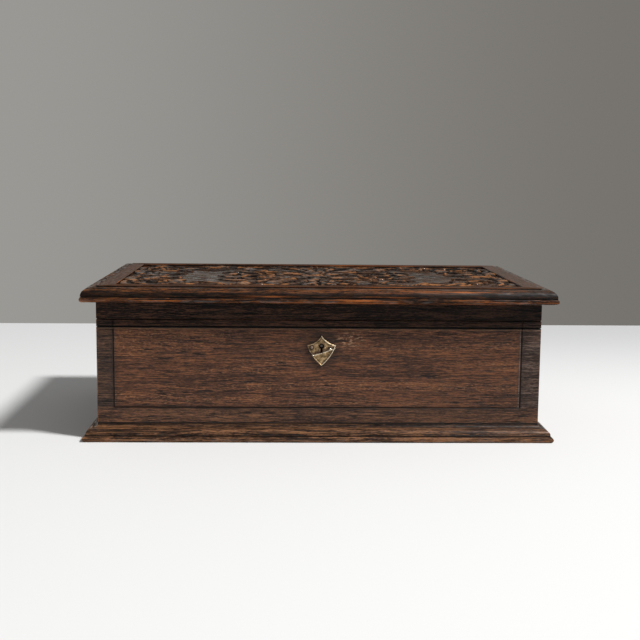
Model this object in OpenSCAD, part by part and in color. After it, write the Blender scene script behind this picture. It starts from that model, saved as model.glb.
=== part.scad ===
// Keepsake box of dark oak: one carcass sawn through below the top, so that its upper part is a hinged lid.
// Origin under the middle of the box, on the surface it stands on. X runs left to right, Y front to back.

/* [Body] */
// Width across the outside of the walls
body_w = 300; // [220:1:400]
// Depth across the outside of the walls
body_d = 180; // [130:1:260]
// Height of the body walls
body_h = 65.8; // [55:0.1:110]
// Thickness of every wall board
wall_t = 11; // [10.5:0.1:14]
// Thickness of the base board
base_t = 11.3; // [10:0.1:16]

/* [Lid] */
// Saw gap between the body and the closed lid
lid_gap = 0.5; // [0.4:0.1:0.9]
// Height of the lid's four rails
rail_h = 16.8; // [14:0.1:30]
// Thickness of the lid board
lid_t = 10.4; // [9.5:0.1:14]
// Width of the plain border round the carved field
field_border = 10.5; // [6:0.1:25]
// Depth of the carved field's ground below the border
field_depth = 2.2; // [0.5:0.1:3]

/* [Carving] */
// Height of the leaves above the sunk ground, as a share of its depth
leaf_share = 0.68; // [0.3:0.02:0.9]
// Height of the scroll stems above the sunk ground, as a share of its depth
stem_share = 0.76; // [0.3:0.02:0.9]
// Height of the rosette above the sunk ground, as a share of its depth
rosette_share = 0.86; // [0.3:0.02:0.9]
// Height of the beads above the sunk ground, as a share of its depth
bead_share = 0.96; // [0.3:0.02:0.98]
// Width of the scroll stems at their foot
stem_w = 4.4; // [3:0.1:5]
// Radius of the rosette in the middle
rosette_r = 13; // [9:0.5:16]
// Petals of the rosette
petal_n = 8; // [6:1:10]
// Radius of the bead in the rosette's middle
boss_r = 3.4; // [2.5:0.1:4]

/* [Mouldings] */
// How far the lid's bead stands out from the walls
lid_overhang = 9.6; // [8:0.1:13]
// How far the base's bead stands out from the walls
base_overhang = 9.4; // [8:0.1:13]
// Height of the rounded bead on both boards
bead_h = 4; // [3:0.1:4.5]
// Step from the lid's bead in to the foot of its quarter round
lid_step = 0.7; // [0.4:0.1:1.5]
// Step from the base's bead in to the foot of its quarter round
base_step = 2; // [1:0.1:2.4]
// Height of the step between the lid's quarter round and its top
quirk_h = 0.8; // [0.3:0.1:1.2]
// How far that step lies inside the face of the walls
quirk_inset = 0.6; // [0.2:0.1:3]
// Radius of the hollow between the walls and the base's quarter round
cove_r = 2.5; // [1:0.1:3]
// Width of the flat between that hollow and the quarter round
cove_flat = 0.6; // [0.2:0.1:1]

/* [Scored lines] */
// Width of the scored lines
line_w = 1.1; // [0.4:0.1:2]
// Depth of the scored lines
line_depth = 0.5; // [0.2:0.1:1]
// Left upright line from the left end of the front
line_left = 11.2; // [8:0.1:30]
// Right upright line from the right end of the front
line_right = 12.9; // [8:0.1:30]
// Upright lines on the two ends, from each corner
line_end = 12; // [8:0.1:30]
// Lower line above the base board
line_low = 11; // [6:0.1:25]
// Upper line above the lower edge of the lid
line_high = 4.9; // [3:0.1:10]

/* [Hinges] */
// Length of each butt hinge
hinge_l = 38; // [30:1:50]
// Outer end of each hinge from the end of the box
hinge_inset = 31; // [25:1:60]
// Thickness of the hinge leaves
leaf_t = 1.2; // [1:0.1:1.6]
// Width of the leaves on the wood
leaf_d = 8.6; // [8:0.1:9.5]
// Outer radius of the knuckles
knuckle_r = 2.1; // [1.9:0.1:2.3]
// Number of knuckles in each hinge
knuckle_n = 5; // [3:2:7]
// Radius of the hinge pin
hinge_pin_r = 1; // [0.8:0.05:1.2]
// Screws in each hinge leaf
hinge_screw_n = 3; // [2:1:3]

/* [Lock] */
// Middle of the lock, to the right of the middle of the box
lock_x = 1.1; // [-10:0.1:10]
// Width of the lock's case
lock_w = 36; // [34:0.5:48]
// Height of the lock
lock_h = 25; // [22:0.5:32]
// Thickness of the lock, let in from the inside of the front board
lock_t = 8; // [7.8:0.1:8.4]
// Width of the brass plates over the lock and in the lid
lock_plate_w = 48; // [46:0.5:60]
// Thickness of those plates
lock_plate_t = 1.2; // [1:0.1:1.4]
// Thickness of the case's walls
lock_case_t = 0.8; // [0.6:0.1:1]
// Throw of the bolt
bolt_throw = 4.5; // [3.8:0.1:5.5]
// Radius of the round part of the keyhole
keyhole_r = 1.7; // [1.5:0.1:2]
// Width of the keyhole's slot
keyhole_slot_w = 1.5; // [1:0.1:2]
// Length of the slot from the keyhole's middle
keyhole_drop = 6.2; // [5:0.1:7]
// Middle of the keyhole below the top of the front board
keyhole_z = 12.4; // [12:0.1:14]
// Radius of the pin that the key fits on
key_pin_r = 1; // [0.7:0.1:1.2]

/* [Escutcheon] */
// Width of the shield across its horns
shield_w = 19.8; // [16:0.1:24]
// Height of the shield from tip to tip
shield_h = 21.2; // [18:0.1:26]
// Depth of the horns below the upper tip
shield_horn = 6.9; // [5:0.1:8]
// Upper tip of the shield below the top of the front board
shield_drop = 4.7; // [3:0.1:5]
// How far the two upper edges curve in
shield_top_sag = 1.5; // [0.8:0.1:2]
// How far the two sides curve out
shield_side_sag = 1.2; // [0.6:0.1:2]
// Thickness of the shield
shield_t = 0.7; // [0.5:0.1:1.2]
// Width of its raised rim
shield_rim_w = 0.8; // [0.4:0.1:1.2]
// Height of the rim
shield_rim_h = 0.35; // [0.1:0.05:0.8]

/* [Fasteners and fits] */
// Shank radius of the small brass screws
screw_r = 1.1; // [0.9:0.05:1.2]
// Head radius of the small brass screws
screw_head_r = 2.1; // [1.8:0.1:2.3]
// Length of the small brass screws
screw_l = 9; // [6:0.5:11]
// Shank radius of the steel screws through the base
base_screw_r = 1.6; // [1.2:0.1:2]
// Head radius of the steel screws
base_screw_head_r = 3.3; // [2.6:0.1:4]
// Length of the steel screws
base_screw_l = 28; // [22:1:40]
// The corner ones, from the ends of the box
base_screw_inset = 20; // [16:1:60]
// How far their heads are sunk into the underside
base_screw_sink = 0.8; // [0.4:0.1:2]
// Play between a screw or pin and its hole
screw_fit = 0.05; // [0.02:0.01:0.1]
// Running clearance of the hinge pins
pin_fit = 0.05; // [0.02:0.01:0.09]
// Gap between parts that move past each other
move_gap = 0.3; // [0.3:0.05:0.4]

/* [Hidden] */
$fn = 48;
oak = "#4a3228";
oak_dark = "#33241d";
brass = "#8c784e";
steel = "#77787a";
cut = 1; // how far a cutter runs past the face that it opens

body_z = base_t + body_h; // top edge of the body walls
lid_z = body_z + lid_gap; // lower edge of the lid
lid_board_z = lid_z + rail_h; // underside of the lid board
half_w = body_w / 2;
half_d = body_d / 2;
quirk_z = lid_t - quirk_h; // top of the lid's quarter round, above the board's underside
cove_z = base_t - cove_r; // top of the base's quarter round

hinge_x = half_w - hinge_inset - hinge_l / 2;
hinge_y = half_d + knuckle_r + move_gap; // the pins' line
hinge_z = body_z + lid_gap / 2;
knuckle_l = hinge_l / knuckle_n;
hinge_screw_step = hinge_l / hinge_screw_n;
leaf_screw_y = half_d - leaf_d / 2;

lock_front_y = -half_d + wall_t - lock_t; // outer side of the lock
lock_back_y = -half_d + wall_t; // inner face of the front board
key_x = lock_x;
key_z = body_z - keyhole_z;
plate_screw_x = (lock_plate_w + lock_w) / 4; // screws in the ears of the plates
case_y = lock_front_y + lock_case_t; // inside of the case at the front
case_depth = lock_t - lock_case_t - lock_plate_t;
screw_skin = 3; // wood left in front of the screws along y
lock_screw_l = min(screw_l, wall_t - screw_skin);
back_screw_rise = 5; // those screws above the lower edge of the lock
bolt_t = 1.2; // thickness of the bolt
bolt_y = case_y + move_gap;
bolt_h = 3.6;
bolt_drop = 9.4; // lower edge of the bolt below the top of the front board
bolt_z = body_z - bolt_drop;
talon_w = 5; // notch that the key turns in
talon_h = 1;
link_t = 1.8; // thickness of the two links that hang from the lid
link_d = 3.4; // their width, front to back
link_y = lock_back_y - lock_plate_t - 2 * move_gap - link_d;
link_wall = 0.6; // metal round a link's eye
link_end_z = bolt_z - 1;
tongue_h = 2.4;
tongue_t = link_d - 2 * link_wall - 2 * move_gap;
tongue_y = link_y + link_wall + move_gap;
tongue_z = bolt_z + (bolt_h - tongue_h) / 2;
tongue_l = bolt_throw; // the posts stop just short of the links
post_w = 2;
link_x = lock_w / 2 - lock_case_t - 2 * move_gap - post_w - tongue_l - link_t / 2; // from the lock's middle
spring_t = 0.4;
spring_rise = 2.2; // sag of the spring's arc
shield_z = body_z - shield_drop; // upper tip of the shield
pin_drop = [8.6, 10.0]; // pins of the shield below its upper tip, left and right
pin_side = [-6.7, 5.8]; // and to the side of its middle
shield_pin_r = 0.6;
shield_pin_head_r = 1.05;
shield_pin_l = shield_t + wall_t - lock_t - move_gap; // they stop just in front of the lock

field_x = half_w - quirk_inset - field_border; // half sizes of the carved field
field_y = half_d - quirk_inset - field_border;
drawn = [138.9, 78.9]; // half sizes of the field on which the spines below are drawn
stem_end = 0.55; // width of a stem at its tip, as a share of that at its foot
stem_steps = 3; // sides of a stem between two points of its spine
leaf_waist = 0.6; // width of a leaf between two lobes, as a share of its full width
leaf_lean = 0.75; // below 1, a leaf is widest nearer to its foot
lobe_steps = 3; // sides of a lobe
petal_lap = 1.15; // petals this many times as wide as they would be side by side
carving_root = 0.4; // how far the carved forms reach below the ground

// Spines of the scroll stems in one quarter of the field: x to the right, y to the back
stems = [
    [[9, 40], [15, 56], [30, 66], [50, 68], [74, 61], [98, 66], [119, 66], [130, 53], [128, 37], [115, 31],
        [106, 39], [110, 49], [119, 46]],
    [[17, 22], [32, 29], [48, 25], [56, 12], [50, 1], [38, -1], [32, 8], [39, 14], [44, 9]]
];
// Leaves of that quarter: spine, half width and number of lobes
leaves = [
    [[[28, 65], [32, 50], [24, 38], [12, 33]], 8, 3],
    [[[50, 67], [52, 54], [45, 42], [33, 38]], 7, 3],
    [[[58, 66], [66, 73], [80, 75], [94, 74]], 3.8, 3],
    [[[40, 69], [28, 74], [14, 75], [3, 73]], 3.6, 3],
    [[[88, 63], [98, 54], [101, 42], [95, 32]], 7, 3],
    [[[112, 67], [122, 73], [133, 76]], 4, 2],
    [[[129, 42], [135, 30], [134, 17], [128, 6]], 5, 3],
    [[[122, 32], [119, 20], [109, 14], [99, 15]], 5.5, 3],
    [[[54, 18], [63, 14], [66, 6], [74, 3]], 4, 2],
    [[[44, 28], [56, 33], [66, 30], [72, 24]], 4.4, 3],
    [[[1, 11], [1, 22], [4, 34], [2, 46]], 6, 3],
    [[[138, 3], [128, 2], [116, 3], [106, 1]], 5, 3]
];
// Beads of that quarter: middle and radius
beads = [[[119.5, 45], 2.6], [[42.5, 10.5], 2.4]];

// Middle of the circle of radius r through p and q, on the left of the line from p to q
function arc_middle(p, q, r) =
    let (m = (p + q) / 2, c = norm(q - p), n = [p.y - q.y, q.x - p.x] / c)
    m + n * sqrt(r * r - c * c / 4);

// Radius of the arc on a chord of length c with sag s
function sag_radius(c, s) = c * c / (8 * s) + s / 2;

// Point at share t of the smooth curve through the points (a Catmull-Rom spline)
function curve_point(points, t) =
    let (
        n = len(points),
        i = min(floor(t * (n - 1)), n - 2),
        u = t * (n - 1) - i,
        b = points[i],
        c = points[i + 1],
        a = i > 0 ? points[i - 1] : 2 * b - c,
        d = i < n - 2 ? points[i + 2] : 2 * c - b
    )
    b + (c - a) * u / 2 + (2 * a - 5 * b + 4 * c - d) * u * u / 2 + (3 * b - a - 3 * c + d) * u * u * u / 2;

// Unit vector to the left of that curve, from two points of it a little apart
function curve_side(points, t) =
    let (apart = 0.001, p = curve_point(points, max(t - apart, 0)), q = curve_point(points, min(t + apart, 1)))
    [p.y - q.y, q.x - p.x] / norm(q - p);

// Outline of a band along a spine: up its left side and back down its right one, at the given half widths
function band(spine, half_widths) =
    let (n = len(half_widths) - 1)
    concat(
        [for (i = [0 : n]) curve_point(spine, i / n) + curve_side(spine, i / n) * half_widths[i]],
        [for (i = [n : -1 : 0]) if (half_widths[i] > 0)
            curve_point(spine, i / n) - curve_side(spine, i / n) * half_widths[i]]
    );

function stem_widths(spine) =
    let (n = (len(spine) - 1) * stem_steps)
    [for (i = [0 : n]) stem_w / 2 * (1 - (1 - stem_end) * i / n)];

// A leaf is pointed at both ends and has lobes that meet at waists
function leaf_widths(half, lobes) =
    let (n = lobes * lobe_steps)
    [for (i = [0 : n]) i == 0 || i == n ? 0 : half * sin(180 * pow(i / n, leaf_lean))
        * (leaf_waist + (1 - leaf_waist) * abs(sin(180 * i / lobe_steps)))];

// Spine moved from the field on which it is drawn to the real one
function on_field(spine) = [for (p = spine) [p.x * field_x / drawn.x, p.y * field_y / drawn.y]];

// Board with mitred ends: outer face on y = 0, thickness towards +y
module mitred_board(length, height) {
    half = length / 2;
    linear_extrude(height)
        polygon([[-half, 0], [half, 0], [half - wall_t, wall_t], [wall_t - half, wall_t]]);
}

// Section of a moulded board: bead below, quarter round above it with a flat on top where there is room
module moulded_section(half, overhang, step, round_in, round_top) {
    bead_r = bead_h / 2;
    round_h = round_top - bead_h;
    room = overhang - step - round_in;
    flat = max(0, room - round_h);
    round_w = room - flat;
    round_r = (round_w * round_w + round_h * round_h) / (2 * round_h);
    round_x = half + round_in + flat; // inner end of the quarter round
    for (side = [-1, 1])
        translate([side * (half + overhang - bead_r), bead_r])
            circle(r = bead_r);
    translate([-(half + overhang - bead_r), 0])
        square([2 * (half + overhang - bead_r), bead_h]);
    translate([-round_x, 0])
        square([2 * round_x, round_top]);
    for (side = [-1, 1])
        intersection() {
            translate([side * round_x, round_top - round_r])
                circle(r = round_r);
            translate([side < 0 ? -(half + overhang) : round_x - cut, bead_h - bead_r / 2])
                square([half + overhang - round_x + cut, round_h + bead_r]);
        }
}

module lid_section(half) {
    moulded_section(half, lid_overhang, lid_step, -quirk_inset, quirk_z);
    translate([-(half - quirk_inset), 0])
        square([2 * (half - quirk_inset), lid_t]);
}

module base_section(half) {
    moulded_section(half, base_overhang, base_step, cove_r + cove_flat, cove_z);
    difference() {
        translate([-(half + cove_r), 0])
            square([2 * (half + cove_r), base_t]);
        for (side = [-1, 1])
            translate([side * (half + cove_r), base_t])
                circle(r = cove_r);
    }
}

// A section carried along both directions of the board and mitred at its corners
module run_along_x(length) {
    rotate([90, 0, 90])
        translate([0, 0, -length / 2])
            linear_extrude(length)
                children();
}

module run_along_y(length) {
    rotate([90, 0, 0])
        translate([0, 0, -length / 2])
            linear_extrude(length)
                children();
}

// V-shaped scored line of the given length along x, in a face on y = 0 that looks towards -y
module scored_line(length) {
    rotate([90, 0, 90])
        linear_extrude(length)
            polygon([[-line_depth, line_w], [-line_depth, -line_w], [line_depth, 0]]);
}

// Lines on a wall: uprights at x1 and x2 from z1 to z2, and one across at z_across between the ends of run
module scored_frame(x1, x2, z1, z2, z_across, run) {
    for (x = [x1, x2])
        translate([x, 0, z1])
            rotate([0, -90, 0])
                scored_line(z2 - z1);
    translate([run[0], 0, z_across])
        scored_line(run[1] - run[0]);
}

module body_lines(x1, x2) {
    scored_frame(x1, x2, line_low, body_h + cut, line_low, [x1, x2]);
}

// On the lid, the line across runs from corner to corner of a wall with that half length
module lid_lines(x1, x2, half) {
    scored_frame(x1, x2, -cut, line_high, line_high, [-half - cut, half + cut]);
}

// Countersunk screw with a slotted head: head flush with z = 0, shank downwards
module countersunk_screw(r, head_r, length) {
    difference() {
        union() {
            translate([0, 0, -length])
                cylinder(r = r, h = length);
            translate([0, 0, -(head_r - r)])
                cylinder(r1 = r, r2 = head_r, h = head_r - r);
        }
        translate([-head_r - cut, -r / 4, -r / 2])
            cube([2 * (head_r + cut), r / 2, r]);
    }
}

// Hole for that screw, a little larger all round, from far above its head
module screw_hole(r, head_r, length) {
    translate([0, 0, -length - screw_fit])
        cylinder(r = r + screw_fit, h = length + screw_fit + cut);
    translate([0, 0, -(head_r - r)])
        cylinder(r1 = r + screw_fit, r2 = head_r + screw_fit, h = head_r - r);
    cylinder(r = head_r + screw_fit, h = cut);
}

module at_hinges() {
    for (x = [-hinge_x, hinge_x])
        translate([x, 0, 0])
            children();
}

module at_leaf_screws() {
    for (i = [0 : hinge_screw_n - 1])
        translate([(i - (hinge_screw_n - 1) / 2) * hinge_screw_step, leaf_screw_y, 0])
            children();
}

// Recess for one leaf with its screw holes, in a board edge on z = 0 that looks towards +z
module leaf_recess() {
    translate([-hinge_l / 2, half_d - leaf_d, -leaf_t])
        cube([hinge_l, leaf_d + cut, leaf_t + cut]);
    at_leaf_screws()
        screw_hole(screw_r, screw_head_r, screw_l);
}

// One leaf, its plate below z = 0, with every second knuckle from the one numbered first
module hinge_leaf(first) {
    difference() {
        union() {
            translate([-hinge_l / 2, half_d - leaf_d, -leaf_t])
                cube([hinge_l, leaf_d, leaf_t]);
            for (i = [first : 2 : knuckle_n - 1]) {
                start = -hinge_l / 2 + i * knuckle_l + (i > 0 ? move_gap / 2 : 0);
                end = -hinge_l / 2 + (i + 1) * knuckle_l - (i < knuckle_n - 1 ? move_gap / 2 : 0);
                translate([start, half_d - cut, -leaf_t])
                    cube([end - start, hinge_y - half_d + cut, leaf_t]);
                translate([start, hinge_y, lid_gap / 2])
                    rotate([0, 90, 0])
                        cylinder(r = knuckle_r, h = end - start);
            }
        }
        translate([-hinge_l / 2 - cut, hinge_y, lid_gap / 2])
            rotate([0, 90, 0])
                cylinder(r = hinge_pin_r + pin_fit, h = hinge_l + 2 * cut);
        at_leaf_screws()
            screw_hole(screw_r, screw_head_r, screw_l);
    }
}

module body_leaf() {
    translate([0, 0, body_z])
        hinge_leaf(0);
}

module lid_leaf() {
    translate([0, 0, lid_z])
        mirror([0, 0, 1])
            hinge_leaf(1);
}

module hinge_pin() {
    translate([-hinge_l / 2, hinge_y, hinge_z])
        rotate([0, 90, 0])
            cylinder(r = hinge_pin_r, h = hinge_l);
}

// Keyhole seen from the front, its round part on the origin
module keyhole_outline(play) {
    circle(r = keyhole_r + play);
    translate([-keyhole_slot_w / 2 - play, -keyhole_drop - play])
        square([keyhole_slot_w + 2 * play, keyhole_drop + play]);
}

module keyhole_cutter(y_start, depth, play) {
    translate([key_x, y_start + depth, key_z])
        rotate([90, 0, 0])
            linear_extrude(depth)
                keyhole_outline(play);
}

module at_plate_screws() {
    for (side = [-1, 1])
        translate([lock_x + side * plate_screw_x, (lock_front_y + lock_back_y) / 2, 0])
            children();
}

// Screws through the lock's back plate lie along y
module at_back_plate_screws() {
    for (side = [-1, 1])
        translate([lock_x + side * plate_screw_x, lock_back_y, body_z - lock_h + back_screw_rise])
            rotate([-90, 0, 0])
                children();
}

module lock_mortise() {
    translate([lock_x - lock_w / 2, lock_front_y, body_z - lock_h])
        cube([lock_w, lock_t + cut, lock_h + cut]);
    translate([lock_x - lock_plate_w / 2, lock_back_y - lock_plate_t, body_z - lock_h])
        cube([lock_plate_w, lock_plate_t + cut, lock_h + cut]);
    translate([lock_x - lock_plate_w / 2, lock_front_y, body_z - lock_plate_t])
        cube([lock_plate_w, lock_t + cut, lock_plate_t + cut]);
    translate([0, 0, body_z])
        at_plate_screws()
            screw_hole(screw_r, screw_head_r, screw_l);
    at_back_plate_screws()
        screw_hole(screw_r, screw_head_r, lock_screw_l);
}

module at_base_screws() {
    row_x = half_w - base_screw_inset;
    spots = [
        for (x = [-row_x, 0, row_x], side = [-1, 1]) [x, side * (half_d - wall_t / 2)],
        for (side = [-1, 1]) [side * (half_w - wall_t / 2), 0]
    ];
    for (spot = spots)
        translate([spot.x, spot.y, base_screw_sink])
            rotate([180, 0, 0])
                children();
}

module base_screw_holes() {
    at_base_screws()
        screw_hole(base_screw_r, base_screw_head_r, base_screw_l);
}

module base_board() {
    color(oak_dark)
        difference() {
            intersection() {
                run_along_x(body_w + 4 * base_overhang) base_section(half_d);
                run_along_y(body_d + 4 * base_overhang) base_section(half_w);
            }
            base_screw_holes();
        }
}

module front_board() {
    color(oak)
        difference() {
            translate([0, -half_d, base_t])
                difference() {
                    mitred_board(body_w, body_h);
                    body_lines(line_left - half_w, half_w - line_right);
                }
            lock_mortise();
            keyhole_cutter(-half_d - cut, wall_t, 0);
            escutcheon_pin_holes();
            base_screw_holes();
        }
}

module back_board() {
    color(oak)
        difference() {
            translate([0, half_d, base_t])
                rotate([0, 0, 180])
                    mitred_board(body_w, body_h);
            translate([0, 0, body_z])
                at_hinges()
                    leaf_recess();
            base_screw_holes();
        }
}

// One end of the body, with its outer face towards -x
module end_board() {
    translate([-half_w, 0, base_t])
        rotate([0, 0, -90])
            difference() {
                mitred_board(body_d, body_h);
                body_lines(line_end - half_d, half_d - line_end);
            }
}

module left_side_board() {
    color(oak)
        difference() {
            end_board();
            base_screw_holes();
        }
}

module right_side_board() {
    color(oak)
        difference() {
            mirror([1, 0, 0])
                end_board();
            base_screw_holes();
        }
}

// Solid of its children's plan, from under the ground up to a share of the ground's depth
module carved(share) {
    translate([0, 0, -carving_root])
        linear_extrude(carving_root + share * field_depth)
            children();
}

module foliage_quarter() {
    carved(stem_share)
        for (spine = stems)
            polygon(band(on_field(spine), stem_widths(spine)));
    carved(leaf_share)
        for (leaf = leaves)
            polygon(band(on_field(leaf[0]), leaf_widths(leaf[1], leaf[2])));
    carved(bead_share)
        for (bead = beads)
            translate(on_field([bead[0]])[0])
                circle(r = bead[1]);
}

// Petals in a ring, each a circle that overlaps its neighbours, and a bead in the middle
module rosette() {
    petal_r = petal_lap * rosette_r * sin(180 / petal_n) / (1 + sin(180 / petal_n));
    carved(rosette_share) {
        circle(r = rosette_r - petal_r);
        for (i = [0 : petal_n - 1])
            rotate(i * 360 / petal_n)
                translate([rosette_r - petal_r, 0])
                    circle(r = petal_r);
    }
    carved(bead_share)
        circle(r = boss_r);
}

module foliage() {
    for (left = [0, 1], front = [0, 1])
        mirror([left, 0, 0])
            mirror([0, front, 0])
                foliage_quarter();
    rosette();
}

module lid_board() {
    color(oak_dark)
        translate([0, 0, lid_board_z]) {
            difference() {
                intersection() {
                    run_along_x(body_w + 4 * lid_overhang) lid_section(half_d);
                    run_along_y(body_d + 4 * lid_overhang) lid_section(half_w);
                }
                translate([-field_x, -field_y, lid_t - field_depth])
                    cube([2 * field_x, 2 * field_y, field_depth + cut]);
            }
            translate([0, 0, lid_t - field_depth])
                foliage();
        }
}

module lid_front_rail() {
    color(oak_dark)
        difference() {
            translate([0, -half_d, lid_z])
                difference() {
                    mitred_board(body_w, rail_h);
                    lid_lines(line_left - half_w, half_w - line_right, half_w);
                }
            translate([lock_x - lock_plate_w / 2, lock_front_y, lid_z - cut])
                cube([lock_plate_w, lock_t + cut, lock_plate_t + cut]);
            translate([0, 0, lid_z])
                mirror([0, 0, 1])
                    at_plate_screws()
                        screw_hole(screw_r, screw_head_r, screw_l);
        }
}

module lid_back_rail() {
    color(oak_dark)
        difference() {
            translate([0, half_d, lid_z])
                rotate([0, 0, 180])
                    mitred_board(body_w, rail_h);
            translate([0, 0, lid_z])
                mirror([0, 0, 1])
                    at_hinges()
                        leaf_recess();
        }
}

// One end of the lid, with its outer face towards -x
module lid_end_rail() {
    translate([-half_w, 0, lid_z])
        rotate([0, 0, -90])
            difference() {
                mitred_board(body_d, rail_h);
                lid_lines(line_end - half_d, half_d - line_end, half_d);
            }
}

module lid_left_rail() {
    color(oak_dark)
        lid_end_rail();
}

module lid_right_rail() {
    color(oak_dark)
        mirror([1, 0, 0])
            lid_end_rail();
}

module left_hinge_body_leaf() {
    color(brass)
        translate([-hinge_x, 0, 0])
            body_leaf();
}

module left_hinge_lid_leaf() {
    color(brass)
        translate([-hinge_x, 0, 0])
            lid_leaf();
}

module left_hinge_pin() {
    color(brass)
        translate([-hinge_x, 0, 0])
            hinge_pin();
}

module right_hinge_body_leaf() {
    color(brass)
        translate([hinge_x, 0, 0])
            body_leaf();
}

module right_hinge_lid_leaf() {
    color(brass)
        translate([hinge_x, 0, 0])
            lid_leaf();
}

module right_hinge_pin() {
    color(brass)
        translate([hinge_x, 0, 0])
            hinge_pin();
}

module hinge_body_screws() {
    color(brass)
        translate([0, 0, body_z])
            at_hinges()
                at_leaf_screws()
                    countersunk_screw(screw_r, screw_head_r, screw_l);
}

module hinge_lid_screws() {
    color(brass)
        translate([0, 0, lid_z])
            mirror([0, 0, 1])
                at_hinges()
                    at_leaf_screws()
                        countersunk_screw(screw_r, screw_head_r, screw_l);
}

// Tray that holds the works: open towards the back plate and towards the top plate
module lock_case() {
    color(steel)
        difference() {
            translate([lock_x - lock_w / 2, lock_front_y, body_z - lock_h])
                cube([lock_w, lock_t - lock_plate_t, lock_h - lock_plate_t]);
            translate([lock_x - lock_w / 2 + lock_case_t, case_y, body_z - lock_h + lock_case_t])
                cube([lock_w - 2 * lock_case_t, lock_t, lock_h]);
            keyhole_cutter(lock_front_y - cut, lock_case_t + 2 * cut, 0);
        }
}

// Back plate and top plate in one piece, with slots for the links
module lock_plate() {
    color(brass)
        difference() {
            union() {
                translate([lock_x - lock_plate_w / 2, lock_back_y - lock_plate_t, body_z - lock_h])
                    cube([lock_plate_w, lock_plate_t, lock_h]);
                translate([lock_x - lock_plate_w / 2, lock_front_y, body_z - lock_plate_t])
                    cube([lock_plate_w, lock_t, lock_plate_t]);
            }
            for (side = [-1, 1])
                translate([lock_x + side * link_x - link_t / 2 - 2 * move_gap, link_y - 2 * move_gap,
                    body_z - lock_plate_t - cut])
                    cube([link_t + 4 * move_gap, link_d + 4 * move_gap, lock_plate_t + 2 * cut]);
            translate([0, 0, body_z])
                at_plate_screws()
                    screw_hole(screw_r, screw_head_r, screw_l);
            at_back_plate_screws()
                screw_hole(screw_r, screw_head_r, lock_screw_l);
        }
}

// Bolt with two tongues that slide through the eyes of the links
module lock_bolt() {
    first_post = -link_x - link_t / 2 - move_gap - tongue_l - post_w;
    last_post = first_post + 2 * link_x;
    color(steel)
        translate([lock_x, 0, 0]) {
            difference() {
                translate([first_post, bolt_y, bolt_z])
                    cube([last_post + post_w - first_post, bolt_t, bolt_h]);
                translate([-talon_w / 2, bolt_y - cut, bolt_z - cut])
                    cube([talon_w, bolt_t + 2 * cut, talon_h + cut]);
            }
            for (post_x = [first_post, last_post]) {
                translate([post_x, bolt_y, tongue_z])
                    cube([post_w, tongue_y + tongue_t - bolt_y, tongue_h]);
                translate([post_x, tongue_y, tongue_z])
                    cube([post_w + tongue_l, tongue_t, tongue_h]);
            }
        }
}

// Flat spring that bows down over the bolt from the left wall of the case
module lock_spring() {
    chord = lock_w - 2 * lock_case_t;
    low_z = bolt_z + bolt_h + move_gap;
    arc_r = sag_radius(chord, spring_rise);
    color(steel)
        intersection() {
            translate([lock_x, bolt_y + bolt_t, low_z + arc_r])
                rotate([90, 0, 0])
                    linear_extrude(bolt_t)
                        difference() {
                            circle(r = arc_r, $fn = 96);
                            circle(r = arc_r - spring_t, $fn = 96);
                        }
            translate([lock_x - chord / 2, bolt_y - cut, low_z - cut])
                cube([chord, bolt_t + 2 * cut, spring_rise + cut]);
        }
}

module lock_key_pin() {
    color(steel)
        translate([key_x, lock_back_y - lock_plate_t, key_z])
            rotate([90, 0, 0])
                cylinder(r = key_pin_r, h = case_depth + lock_case_t + 1);
}

module lock_screws() {
    color(brass) {
        translate([0, 0, body_z])
            at_plate_screws()
                countersunk_screw(screw_r, screw_head_r, screw_l);
        at_back_plate_screws()
            countersunk_screw(screw_r, screw_head_r, lock_screw_l);
    }
}

// Plate in the lid's front rail with two eyed links that hang into the lock
module lid_link_plate() {
    color(brass)
        difference() {
            union() {
                translate([lock_x - lock_plate_w / 2, lock_front_y, lid_z])
                    cube([lock_plate_w, lock_t, lock_plate_t]);
                for (side = [-1, 1])
                    translate([lock_x + side * link_x - link_t / 2, link_y, link_end_z])
                        cube([link_t, link_d, lid_z + lock_plate_t - link_end_z]);
            }
            for (side = [-1, 1])
                translate([lock_x + side * link_x, link_y + link_d / 2, tongue_z + tongue_h / 2])
                    cube([link_t + cut, link_d - 2 * link_wall, tongue_h + 2 * move_gap], center = true);
            translate([0, 0, lid_z])
                mirror([0, 0, 1])
                    at_plate_screws()
                        screw_hole(screw_r, screw_head_r, screw_l);
        }
}

module link_plate_screws() {
    color(brass)
        translate([0, 0, lid_z])
            mirror([0, 0, 1])
                at_plate_screws()
                    countersunk_screw(screw_r, screw_head_r, screw_l);
}

// Shield with hollow upper edges and bowed sides, its upper tip on the origin, drawn in by the inset
module shield_outline(inset) {
    tip = [0, 0];
    horn = [shield_w / 2, -shield_horn];
    foot = [0, -shield_h];
    top_r = sag_radius(norm(horn - tip), shield_top_sag);
    side_r = sag_radius(norm(horn - foot), shield_side_sag);
    top_middle = arc_middle(tip, horn, top_r);
    side_middle = arc_middle(foot, horn, side_r);
    difference() {
        intersection() {
            translate(side_middle)
                circle(r = side_r - inset, $fn = 180);
            translate([-side_middle.x, side_middle.y])
                circle(r = side_r - inset, $fn = 180);
            translate([-shield_w, -shield_h - cut])
                square([2 * shield_w, shield_h + cut]);
        }
        for (side = [-1, 1])
            translate([side * top_middle.x, top_middle.y])
                circle(r = top_r + inset, $fn = 120);
    }
}

module escutcheon_pin_holes() {
    for (i = [0, 1])
        translate([lock_x + pin_side[i], -half_d - shield_t - cut, shield_z - pin_drop[i]])
            rotate([-90, 0, 0])
                cylinder(r = shield_pin_r + screw_fit, h = cut + shield_pin_l + screw_fit);
}

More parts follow.
